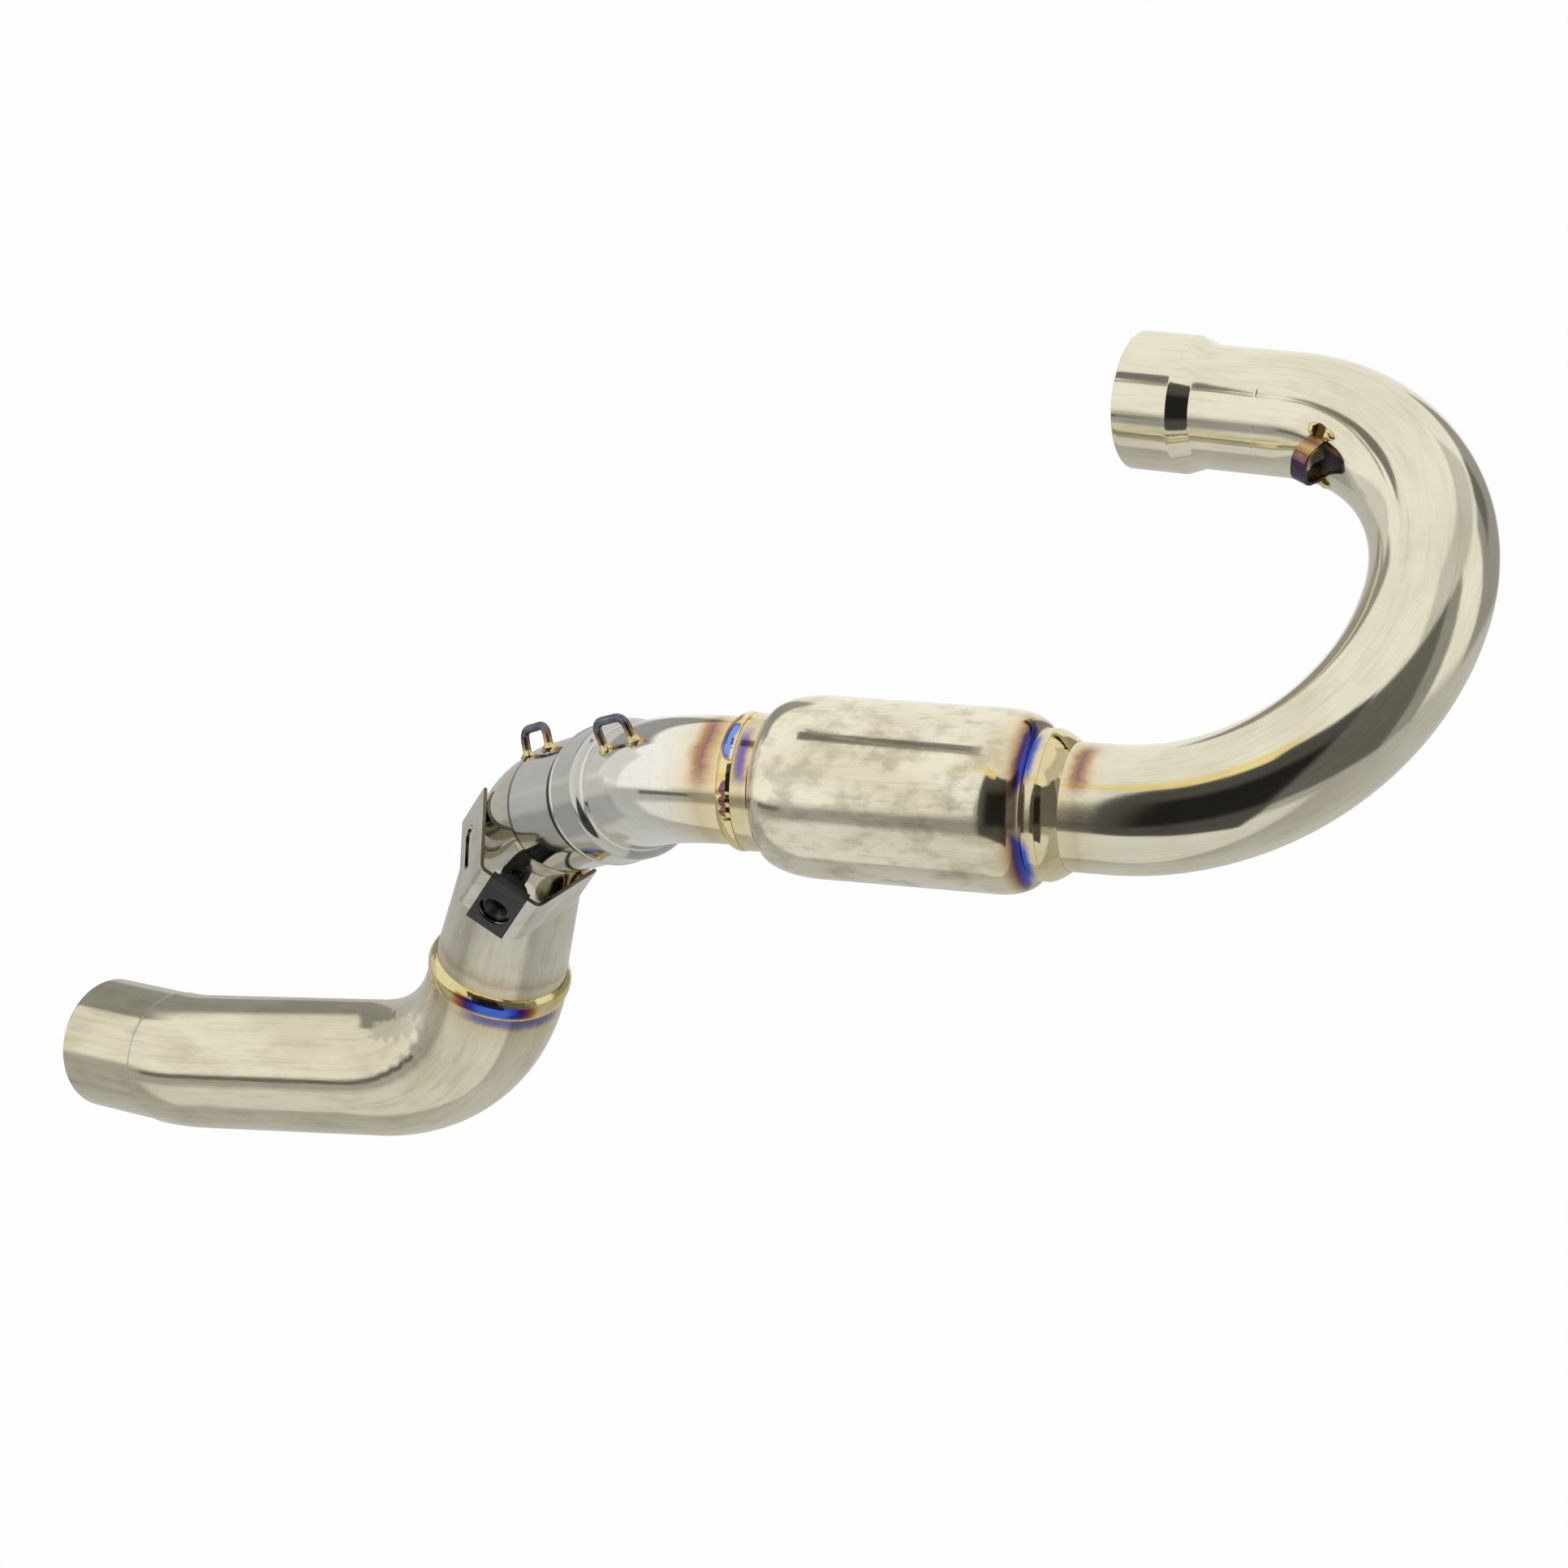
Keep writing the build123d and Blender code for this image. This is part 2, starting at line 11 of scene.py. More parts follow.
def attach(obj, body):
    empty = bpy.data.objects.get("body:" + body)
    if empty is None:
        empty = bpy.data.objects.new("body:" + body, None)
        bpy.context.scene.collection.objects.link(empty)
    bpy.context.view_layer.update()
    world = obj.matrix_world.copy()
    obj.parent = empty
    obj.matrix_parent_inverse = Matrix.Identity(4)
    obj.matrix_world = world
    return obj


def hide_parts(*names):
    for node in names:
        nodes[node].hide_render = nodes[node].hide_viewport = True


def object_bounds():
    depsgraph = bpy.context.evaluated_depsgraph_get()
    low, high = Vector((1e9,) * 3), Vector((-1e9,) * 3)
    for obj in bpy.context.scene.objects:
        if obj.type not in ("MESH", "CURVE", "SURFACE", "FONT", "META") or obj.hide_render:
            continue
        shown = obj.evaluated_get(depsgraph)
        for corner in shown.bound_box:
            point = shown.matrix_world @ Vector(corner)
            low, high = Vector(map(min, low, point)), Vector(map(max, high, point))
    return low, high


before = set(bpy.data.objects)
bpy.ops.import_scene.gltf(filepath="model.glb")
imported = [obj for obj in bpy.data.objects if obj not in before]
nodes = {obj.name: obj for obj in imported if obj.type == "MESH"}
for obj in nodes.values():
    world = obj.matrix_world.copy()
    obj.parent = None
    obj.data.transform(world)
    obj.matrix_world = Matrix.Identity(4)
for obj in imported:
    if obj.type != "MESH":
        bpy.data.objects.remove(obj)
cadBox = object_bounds()
scene = bpy.context.scene
mm = 0.001
print("frame loaded:", len(nodes), "solids")


# colour as it is seen on screen, 0 to 255, made linear
def tone(red, green, blue, alpha=1.0):
    seen = np.array([red, green, blue]) / 255
    linear = np.where(seen < 0.04045, seen / 12.92, ((seen + 0.055) / 1.055) ** 2.4)
    return (*linear.tolist(), alpha)


# one wrapped socket: operators add Math nodes, make() adds any other node
class Sock:
    def __init__(self, tree, out=None):
        self.tree, self.out = tree, out

    def make(self, kind, settings=None, sockets=(), out=0):
        new = self.tree.nodes.new(kind)
        for key, value in (settings or {}).items():
            if key == "stops":  # ramp stops as (place, red, green, blue, alpha)
                ramp = new.color_ramp
                while len(ramp.elements) < len(value):
                    ramp.elements.new(1.0)
                for stop, (place, *shade) in zip(ramp.elements, value):
                    stop.position, stop.color = place, tone(*shade)
            else:
                setattr(new, key, value)
        for key, value in sockets.items() if isinstance(sockets, dict) else enumerate(sockets):
            if isinstance(value, Sock):
                value.to(new.inputs[key])
            else:
                new.inputs[key].default_value = value
        return Sock(self.tree, new.outputs[out])

    def to(self, socket):
        self.tree.links.new(self.out, socket)

    def other(self, name):  # another output of the same node
        return Sock(self.tree, self.out.node.outputs[name])

    def math(self, operation, *terms):
        return self.make("ShaderNodeMath", {"operation": operation}, (self, *terms))

    __add__ = __radd__ = partialmethod(math, "ADD")
    __sub__ = partialmethod(math, "SUBTRACT")
    __mul__ = __rmul__ = partialmethod(math, "MULTIPLY")
    __truediv__ = partialmethod(math, "DIVIDE")

    def __rsub__(self, term):
        return self * -1.0 + term

    def step(self, low, high):  # smooth rise from 0 at low to 1 at high, falling if high is less
        ends = (low, high, 0.0, 1.0) if low < high else (high, low, 1.0, 0.0)
        return self.make("ShaderNodeMapRange", {"interpolation_type": "SMOOTHSTEP"}, (self, *ends))

    def mix(self, low, high):  # colour from low to high by this value
        return self.make("ShaderNodeMix", {"data_type": "RGBA"}, {0: self, 6: low, 7: high}, 2)

    def noise(self, scale, detail, roughness=0.5):  # noise at this vector
        sockets = {"Vector": self, "Scale": scale, "Detail": detail, "Roughness": roughness}
        return self.make("ShaderNodeTexNoise", None, sockets)

    def attribute(self, name, out):  # output 1 is a vector, 2 a value
        return self.make("ShaderNodeAttribute", {"attribute_name": name}, out=out)

    def plainRays(self):  # 1 for rays from the camera, off metal and through glass
        path = self.make("ShaderNodeLightPath")
        return path.math("MAXIMUM", path.other("Is Glossy Ray")).math("MAXIMUM", path.other("Is Transmission Ray"))


# new material with its shader and a socket to build from
def freshLook(name):
    material = bpy.data.materials.new(name)
    material.use_nodes = True
    return material, material.node_tree.nodes["Principled BSDF"], Sock(material.node_tree)


# links colour, roughness and height (mm) to a shader
def paint(shader, colour, rough, height, metallic=1.0):
    bump = height.make("ShaderNodeBump", None, {"Height": height, "Distance": mm})
    for name, value in {"Base Color": colour, "Roughness": rough, "Normal": bump}.items():
        value.to(shader.inputs[name])
    shader.inputs["Metallic"].default_value = metallic


# path of the whole header: runs (mm), turns about the pipe (degrees) and bends (degrees, radius)
header = {
    "steps": [
        ("run", 56.6), ("turn", -40.6), ("bend", 90.2, 63.5), ("run", 0.7),
        ("turn", -6.3), ("bend", 82.6, 88.5), ("mark", "bulb"), ("run", 127.2),
        ("turn", 78.3), ("bend", 44.4, 48.0), ("run", 34.0), ("mark", "rim"), ("run", 43.9),
        ("turn", 73.1), ("bend", 47.3, 55.0), ("mark", "cone"), ("run", 44.6), ("mark", "weld"), ("run", 6.0),
        ("turn", 142.3), ("bend", 62.0, 70.8), ("run", 81.0),
        ("turn", 80.1), ("bend", 11.9, 73.7), ("mark", "end"), ("run", 39.9),
    ],
    "wall": 1.2, "around": 128, "rimRounding": 0.3, "spacing": 1.8,
}


# centre, side, cross and along vectors at distances into one leg, carried along without twist
def alongLeg(leg, gone):
    _, origin, along, side, cross, bend = leg
    if bend is None:
        return origin + along * gone, side + 0 * gone, cross + 0 * gone, along + 0 * gone
    radius, inward, hinge = bend
    turn = gone / radius
    newIn = np.cos(turn) * inward - np.sin(turn) * along
    return (
        origin + radius * (1 - np.cos(turn)) * inward + radius * np.sin(turn) * along,
        (side @ inward) * newIn + (side @ hinge) * hinge,
        (cross @ inward) * newIn + (cross @ hinge) * hinge,
        np.cos(turn) * along + np.sin(turn) * inward,
    )


# walks the steps once; each leg keeps its start, its frame and its bend
def walkHeader(steps):
    origin, along = np.zeros(3), np.array([1.0, 0.0, 0.0])
    side, cross = np.array([0.0, 0.0, -1.0]), np.array([0.0, 1.0, 0.0])
    station, roll, legs, marks = 0.0, 0.0, [], {}
    for kind, size, *radius in steps:
        if kind == "turn":
            roll += radians(size)
        elif kind == "mark":
            marks[size] = station
        else:
            length, bend = size, None
            if kind == "bend":
                inward = cos(roll) * side + sin(roll) * cross
                length, bend = radians(size) * radius[0], (radius[0], inward, np.cross(along, inward))
            legs.append((station, origin, along, side, cross, bend))
            origin, side, cross, along = alongLeg(legs[-1], length)
            station += length
    return legs, marks


legs, marks = walkHeader(header["steps"])


# the same vectors of the path at an array of stations (mm)
def framesAt(stations):
    stations = np.atleast_1d(np.asarray(stations, float))
    out = [np.zeros((len(stations), 3)) for _ in range(4)]
    for number, leg in enumerate(legs):
        here = stations >= leg[0] - 1e-9 if number else stations > -1e9
        for target, part in zip(out, alongLeg(leg, (stations[here] - leg[0])[:, None])):
            target[here] = part
    return out


# a place on the pipe: its centre, then out (turned by an angle round the pipe), across and along
def placeAt(station, angle):
    centre, side, cross, along = (rows[0] for rows in framesAt(station))
    turn = radians(angle)
    return centre, cos(turn) * side + sin(turn) * cross, cos(turn) * cross - sin(turn) * side, along


# smooth rise from 0 to 1
def ease(value):
    value = np.clip(value, 0, 1)
    return value * value * (3 - 2 * value)


# angles of a full turn
def fullTurn(count):
    return np.linspace(0, 2 * pi, count, endpoint=False)


# a line through corners with each corner drawn round, filled to a spacing; closed or open
def softLine(corners, rounding, spacing, closed=True):
    corners = np.asarray(corners, float)
    before, after = np.roll(corners, 1, 0), np.roll(corners, -1, 0)
    t = np.linspace(0, 1, 6)[:, None]
    longestCut, leastTurn = 0.45, 0.25
    parts = []
    for number, (a, b, c) in enumerate(zip(before, corners, after)):
        if not closed and number in (0, len(corners) - 1):
            parts.append(b[None])
            continue
        into, away = norm(b - a), norm(c - b)
        cut = min(rounding, longestCut * into, longestCut * away)
        start, stop = b + (a - b) / into * cut, b + (c - b) / away * cut
        bendTurn = abs(np.cross(np.append(b - a, 0)[:3], np.append(c - b, 0)[:3])).sum() / (into * away)
        curve = (1 - t) ** 2 * start + 2 * t * (1 - t) * b + t**2 * stop
        parts.append(curve if bendTurn > leastTurn else b[None])
    joined = [parts[0]]
    for here, there in zip(parts, parts[1:] + (parts[:1] if closed else [])):
        gap = norm(there[0] - here[-1])
        fill = np.linspace(0, 1, int(gap / spacing) + 2)[1:-1, None]
        joined += [here[-1] + (there[0] - here[-1]) * fill, there]
    return np.concatenate(joined[:-1] if closed else joined)


# draws close points (m) together and joins faces that are flat to an angle
def mergePoints(mesh, gap, flat=None):
    work = bmesh.new()
    work.from_mesh(mesh)
    bmesh.ops.remove_doubles(work, verts=work.verts, dist=gap)
    if flat:
        bmesh.ops.dissolve_limit(work, angle_limit=radians(flat), verts=work.verts, edges=work.edges)
    work.to_mesh(mesh)
    work.free()


# puts an (n, m, 3) grid of points in mm into a mesh; a wrap joins the last row or column to the first
def gridMesh(name, points, wrapRows, wrapCols, sharp=38, merge=False, **attributes):
    rows, cols = points.shape[:2]
    index = np.arange(rows * cols).reshape(rows, cols)
    i = np.arange(rows if wrapRows else rows - 1)[:, None]
    j = np.arange(cols if wrapCols else cols - 1)[None, :]
    ni, nj = (i + 1) % rows, (j + 1) % cols
    faces = np.stack([index[i, j], index[i, nj], index[ni, nj], index[ni, j]], -1).reshape(-1, 4)
    mesh = bpy.data.meshes.new(name)
    mesh.from_pydata((points.reshape(-1, 3) * mm).tolist(), [], faces.tolist())
    for key, values in attributes.items():
        kind, field = ("FLOAT_VECTOR", "vector") if values.ndim == 3 else ("FLOAT", "value")
        layer = mesh.attributes.new(key, kind, "POINT")
        layer.data.foreach_set(field, np.ascontiguousarray(values, np.float32).reshape(-1))
    if merge:  # the end rows are collapsed
        mergePoints(mesh, 1e-6)
    return smoothPiece(name, mesh, sharp)


# object of a mesh, smooth but for its sharp edges
def smoothPiece(name, mesh, sharp):
    mesh.polygons.foreach_set("use_smooth", np.ones(len(mesh.polygons), bool))
    mesh.set_sharp_from_angle(angle=radians(sharp))
    piece = bpy.data.objects.new(name, mesh)
    scene.collection.objects.link(piece)
    return piece


# gives a piece its material and its body, and hides the solid that it stands for; its material slot is not used
def settle(piece, material, body, slot, *solids):
    piece.data.materials.clear()
    piece.data.materials.append(material)
    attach(piece, body)
    if solids:
        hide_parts(*solids)


# tube or bead: a closed outline of (station, radius) carried round the path, plus a swell of (station, angle)
def tubePiece(name, loop, around=header["around"], swell=None, bore=0.0):
    stations, radii = loop[:, :1], loop[:, 1:]
    centre, side, cross, _ = framesAt(loop[:, 0])
    angle = fullTurn(around)[None, :]
    reach = radii + (swell(stations, angle) if swell else 0 * angle)
    ring = np.cos(angle)[..., None] * side[:, None] + np.sin(angle)[..., None] * cross[:, None]
    points = centre[:, None] + reach[..., None] * ring
    straight = np.stack([reach * np.cos(angle), reach * np.sin(angle), stations + 0 * angle], -1)
    return gridMesh(name, points, True, True, straight=straight, bore=bore + 0 * reach)


# heat tint, stain or painted shade: its colours run along the pipe from start to stop; facing is a side of the pipe
# (degrees), the cosines where the tint begins and is full, and the radius; with turning, the colours run round the pipe
# instead
def tint(anchor, start, stop, *stops, facing=None, fray=0.2, wave=1.0, turning=False):
    ends = {"from": anchor + start, "to": anchor + stop}
    return {**ends, "stops": stops, "facing": facing, "fray": fray, "wave": wave, "turning": turning}


# what a steel has unless its own look says otherwise
plainSteel = {
    "stains": 0.3, "brushShade": 0.35, "brushRough": 0.10, "rough": 0.08, "brushDepth": 0.006, "fleckDepth": 0.003,
    "dentDepth": 0.02, "blot": (0.12, 0.05), "streakShare": 0.4, "streakDepth": 0.0, "waver": 6.0,
    "boreTone": tone(92, 84, 70), "boreShade": 0.75, "boreRough": 0.22, "stainRough": 0.08,
}


# steel in the straightened pipe's coordinates (mm): brushing along the pipe, clouds, blots, heat tints and painted
# shade
def steelFinish(name, piece):
    material, shader, top = freshLook(name)
    look = {**plainSteel, **piece["look"]}
    straight, bore = top.attribute("straight", 1), top.attribute("bore", 2)
    across = top.make("ShaderNodeSeparateXYZ", None, [straight])
    upward, station = across.other(1), across.other(2)

    def grain(acrossScale, alongScale, detail, roughness=0.55):
        scale = (acrossScale, acrossScale, alongScale)
        spread = top.make("ShaderNodeVectorMath", {"operation": "MULTIPLY"}, (straight, scale))
        return spread.noise(1.0, detail, roughness)

    def toSide(angle):  # distance towards one side of the pipe
        return across * cos(radians(angle)) + upward * sin(radians(angle))

    brush = grain(*look["brush"], 4.0, 0.65)
    streak = grain(0.55, 0.05, 4.0, 0.6)
    cloud = grain(0.035, 0.022, 3.0)
    blot = grain(*look["blot"], 5.0, 0.62)
    fleck = grain(0.75, 0.5, 2.0)
    dent = grain(0.09, 0.05, 1.0)
    colour = cloud.step(0.40, 0.68).mix(look["base"], look["cloud"])
    streaked = look["streakShare"]
    stained = (blot * (1.0 - streaked) + streak * streaked).step(0.44, 0.66) * look["stains"]
    colour = stained.mix(colour, look["stain"])
    colour = (brush.step(0.52, 0.76) * look["brushShade"]).mix(colour, look["stain"])
    waver = (blot - 0.5) * look["waver"] + (fleck - 0.5) * 1.5
    for heatOrShade in piece.get("tints", []):
        gone = (station + waver * heatOrShade["wave"] - heatOrShade["from"]) / (heatOrShade["to"] - heatOrShade["from"])
        place, share = gone, None
        if heatOrShade["facing"]:
            angle, low, high, radius = heatOrShade["facing"]
            toward = toSide(angle) / radius + (blot - 0.5) * heatOrShade["fray"]
            share = toward.step(low, high)
            if heatOrShade["turning"]:
                place, share = (toward - low) / (high - low), gone.step(0.0, 0.2) * gone.step(1.0, 0.8)
        ramp = top.make("ShaderNodeValToRGB", {"stops": heatOrShade["stops"]}, [place])
        amount = ramp.other("Alpha")
        colour = (amount if share is None else amount * share).mix(colour, ramp)
    colour = (bore * look["boreShade"]).mix(colour, look["boreTone"])
    rough = (brush - 0.5) * look["brushRough"] + look["rough"] + stained * look["stainRough"] + bore * look["boreRough"]
    if "duller" in look:  # satin beyond a station
        dullFrom, dullTo, more = look["duller"]
        rough = rough + station.step(dullFrom, dullTo) * more
    height = brush * look["brushDepth"] + fleck * look["fleckDepth"] + dent * look["dentDepth"]
    height = height + streak * look["streakDepth"]
    for line in piece.get("lines", []):  # a fine ring or a seam, as a small step in the height
        where = toSide(line["angle"]) if "angle" in line else station
        notch = (where - line["at"]).math("ABSOLUTE").step(0.0, line["width"])
        if "angle" in line:  # keeps the seam on one side only
            notch = 1.0 - (1.0 - notch) * toSide(line["angle"] + 90).step(-0.5, 0.5)
        height = height + notch * line["depth"]
    paint(shader, colour, rough, height)
    return material


# pipe: the outer outline forwards, then backwards drawn in by the wall or along an inner outline of its own
def pipePiece(name, pipe, finish, body, slot, solid, swell=None):
    plan = {**header, **pipe}
    outer = np.array(plan["outer"], float)
    inner = np.array(plan.get("inner", outer - (0, plan["wall"])))
    loop = softLine(np.concatenate([outer, inner[::-1]]), plan["rimRounding"], plan["spacing"])
    bore = loop[:, 1:] < np.interp(loop[:, :1], *outer.T) - plan["wall"] / 2
    tube = tubePiece(name, loop, plan["around"], swell, bore)
    settle(tube, steelFinish(finish, pipe), body, slot, solid)


bulbAt = marks["bulb"]
headPipe = {
    "outer": [(0, 23.1), (19.5, 23.1), (26.5, 20.65), (bulbAt + 22, 20.65)],
    "look": {
        "base": tone(234, 229, 208), "cloud": tone(224, 218, 196), "stain": tone(172, 160, 130), "stains": 0.22,
        "brush": (1.5, 0.025), "streakDepth": 0.008, "waver": 5.0,
    },
    "lines": [{"at": 49.5, "width": 0.6, "depth": 0.02}],
    "tints": [
        tint(bulbAt, 13.0, -4.0, (0, 226, 210, 160, 0.5), (0.25, 214, 190, 136, 0.4), (0.38, 196, 160, 112, 0.35),
             (0.55, 222, 204, 156, 0.25), (1, 232, 222, 190, 0)),
        tint(bulbAt, 11.0, 1.0, (0, 200, 160, 104, 0), (0.25, 170, 120, 76, 0.8), (0.45, 132, 84, 96, 0.85),
             (0.65, 170, 118, 74, 0.7), (1, 222, 204, 156, 0), facing=(-122.0, 0.84, 0.97, 20.65), fray=0.16),
        # painted shadow and reflection of the strap, dark on the pipe under it
        tint(0.0, 72.5, 88.0, (0, 60, 52, 44, 0), (0.3, 26, 24, 22, 0.9), (0.65, 30, 28, 26, 0.9),
             (1, 90, 84, 74, 0), facing=(-71.0, 0.90, 0.985, 20.65), fray=0.04, wave=0.3),
    ],
}
pipePiece("head_tube", headPipe, "satin_steel_head", "head_pipe", "satin_stainless", "head_pipe")
print("head pipe done")

# bulb along the straight; the shoulders are quarters of an ellipse: centre, reach and rise
bulbStart = bulbAt + 18.6
bulb = {
    "wall": 1.5, "fit": 20.72, "mouth": 24.4, "front": (16.7, 12.3, 5.3), "rear": (76.7, 18.4, 6.6), "rearRadius": 23.1,
    "neckFrom": 95.1, "neckTo": 102.5, "neck": 22.55, "neckBore": 21.06,
    "look": {
        "base": tone(240, 234, 212), "cloud": tone(226, 218, 192), "stain": tone(158, 148, 122), "stains": 0.5,
        "brush": (1.1, 0.08), "brushShade": 0.25, "brushRough": 0.12, "rough": 0.09, "blot": (0.13, 0.09),
        "streakShare": 0.15, "fleckDepth": 0.006, "dentDepth": 0.05, "streakDepth": 0.008, "waver": 3.0,
    },
    "lines": [{"at": bulbAt + 114.9, "width": 0.7, "depth": 0.05}],
    "tints": [
        tint(bulbStart, 0.0, 22.0, (0, 226, 212, 164, 0.6), (0.14, 214, 196, 144, 0.6), (0.22, 160, 116, 80, 0.6),
             (0.32, 208, 180, 118, 0.5), (0.52, 224, 208, 156, 0.25), (1, 226, 220, 196, 0), wave=0.25),
        *[  # two blue arcs on the front shoulder
            tint(bulbStart, 1.3, 10.8, (0, 206, 200, 180, 0), (0.12, 130, 134, 180, 0.7), (0.20, 58, 92, 196, 0.95),
                 (0.40, 50, 66, 178, 0.95), (0.52, 88, 52, 112, 0.95), (0.66, 150, 98, 74, 0.7),
                 (1, 206, 178, 116, 0), facing=(arc, 0.85, 0.96, 25.0), fray=0.08, wave=0.4)
            for arc in (-122.0, 146.0)
        ],
        # shadow line of the step between shoulder and neck
        tint(bulbStart, 94.9, 96.6, (0, 120, 116, 104, 0), (0.3, 84, 81, 73, 0.8), (0.7, 96, 93, 84, 0.6),
             (1, 170, 164, 146, 0), wave=0.0),
        tint(bulbAt, 121.5, 111.0, (0, 228, 208, 146, 0.75), (0.5, 220, 202, 146, 0.5), (1, 226, 220, 196, 0),
             wave=0.6),
        tint(bulbAt, 121.3, 114.5, (0, 170, 120, 90, 0), (0.25, 140, 96, 130, 0.8), (0.45, 88, 98, 196, 0.92),
             (0.62, 128, 86, 150, 0.85), (0.8, 196, 146, 90, 0.5), (1, 220, 190, 130, 0),
             facing=(-138.0, 0.86, 0.98, 22.5), fray=0.1, wave=0.6),
    ],
}


# quarter of an ellipse as corners; the angles say which quarter
def quarter(centreStation, centreRadius, reach, rise, start, stop, count=14):
    turn = np.radians(np.linspace(start, stop, count))
    return [(centreStation + reach * cos(a), centreRadius + rise * sin(a)) for a in turn]


# mouth, front shoulder, barrel, rear shoulder and neck, drawn in by an inset
def bulbOutline(inset, neckRadius):
    (frontAt, frontReach, frontRise), (rearAt, rearReach, rearRise) = bulb["front"], bulb["rear"]
    mouth = bulb["mouth"] - inset
    front = quarter(bulbStart + frontAt, mouth, frontReach - inset, frontRise, 180, 90)
    rear = quarter(bulbStart + rearAt, bulb["rearRadius"], rearReach - inset, rearRise - inset, 90, 0)
    neck = [(bulbStart + bulb["neckFrom"] - inset, neckRadius), (bulbStart + bulb["neckTo"], neckRadius)]
    return [(bulbStart + inset, bulb["fit"]), (bulbStart + inset, mouth)] + front + rear + neck


bulbLoop = bulbOutline(0.0, bulb["neck"]) + bulbOutline(bulb["wall"], bulb["neckBore"])[::-1]
bulbShell = tubePiece("bulb_shell", softLine(bulbLoop, header["rimRounding"], header["spacing"]))
settle(bulbShell, steelFinish("satin_steel_bulb", bulb), "head_pipe", "satin_stainless", "resonance_bulb")
print("bulb done")

# link pipe and its sleeve, mirror bright; the sleeve opens in a soft S and ends in a rolled lip
rimAt = marks["rim"]
rise = np.linspace(0, 1, 15)
sleeveRise = np.stack([rimAt - 21.2 + 4.0 * rise, 21.0 + 2.95 * ease(rise)], -1).tolist()
linkPipe = {
    "outer": [
        (bulbStart + 93.6, 21.0), *sleeveRise,
        (rimAt - 1.7, 23.95), (rimAt - 1.2, 24.25), (rimAt - 0.5, 24.25), (rimAt, 23.95),
    ],
    "inner": [(bulbStart + 93.6, 19.8), (rimAt - 20.7, 19.8), (rimAt - 17.7, 22.75), (rimAt, 22.75)],
    "spacing": 0.9, "around": 256,
    "look": {
        "base": tone(246, 245, 238), "cloud": tone(238, 236, 226), "stain": tone(170, 164, 150), "stains": 0.12,
        "brush": (0.06, 1.4), "brushShade": 0.25, "brushRough": 0.05, "rough": 0.05, "brushDepth": 0.002,
        "fleckDepth": 0.001, "waver": 4.0,
    },
    "tints": [
        tint(bulbStart, 107.0, 128.0, (0, 238, 222, 164, 0.75), (0.15, 228, 204, 140, 0.65),
             (0.30, 214, 176, 104, 0.55), (0.45, 226, 200, 134, 0.4), (1, 222, 216, 200, 0), wave=0.8),
        tint(bulbStart, 106.2, 116.8, (0, 226, 190, 110, 0), (0.36, 186, 136, 70, 0.6), (0.54, 138, 84, 94, 0.85),
             (0.70, 164, 106, 62, 0.75), (1, 226, 200, 140, 0), facing=(-126.0, 0.60, 0.95, 21.0), wave=0.8),
        # the sleeve is greyer, up to its rim
        tint(rimAt, -21.2, -16.0, (0, 216, 216, 210, 0), (0.25, 178, 178, 172, 0.85), (0.6, 190, 190, 184, 0.8),
             (1, 212, 211, 203, 0.85), wave=0.0),
    ],
}
pipePiece("link_tube", linkPipe, "bright_steel_link", "head_pipe", "polished_stainless", "link_pipe")

# slip collar, turned bright, with its seam
collar = {
    "outer": [(rimAt - 16.5, 22.7), (rimAt + 39.5, 22.7)], "wall": 1.1,
    "look": {
        "base": tone(222, 222, 216), "cloud": tone(214, 213, 206), "stain": tone(150, 148, 138), "stains": 0.12,
        "brush": (0.05, 1.8), "brushShade": 0.3, "brushRough": 0.08, "brushDepth": 0.004, "fleckDepth": 0.0,
        "dentDepth": 0.01,
    },
    "lines": [{"angle": -60.0, "at": 0.0, "width": 0.5, "depth": 0.06}],
    "tints": [
        # painted shade: a dark band on the collar just past the sleeve's rim, on the upper side
        tint(rimAt, -0.5, 5.6, (0, 14, 14, 14, 1), (0.88, 16, 16, 16, 1), (1, 120, 120, 116, 0),
             facing=(-165.0, 0.2, 0.5, 22.7), fray=0.0, wave=0.0),
        # painted shade: a dark band on the collar's lower end, at its step down to the mid pipe
        tint(rimAt, 36.5, 40.0, (0, 120, 120, 116, 0), (0.5, 60, 60, 57, 0.9), (1, 60, 60, 57, 0.9), wave=0.0),
    ],
}
pipePiece("collar_tube", collar, "turned_steel_collar", "mid_pipe", "polished_stainless", "slip_collar")

# mid pipe: polished elbow, then the brushed cone
coneAt, weldAt = marks["cone"], marks["weld"]
midPipe = {
    "outer": [(rimAt - 16.5, 21.6), (coneAt, 21.6), (weldAt, 24.1), (weldAt + 5, 24.1)],
    "look": {
        "base": tone(222, 218, 202), "cloud": tone(210, 205, 186), "stain": tone(160, 148, 120),
        "brush": (1.3, 0.03), "brushRough": 0.08, "rough": 0.07, "brushDepth": 0.004, "fleckDepth": 0.002,
        "duller": (coneAt - 12.0, coneAt + 8.0, 0.12),
    },
    "tints": [
        tint(weldAt, -3.6, -17.0, (0, 206, 184, 130, 0.6), (0.25, 214, 198, 156, 0.35), (0.42, 176, 146, 110, 0.5),
             (0.55, 190, 164, 126, 0.35), (1, 216, 212, 196, 0)),
    ],
}
pipePiece("mid_tube", midPipe, "satin_steel_mid", "mid_pipe", "satin_stainless", "mid_pipe")

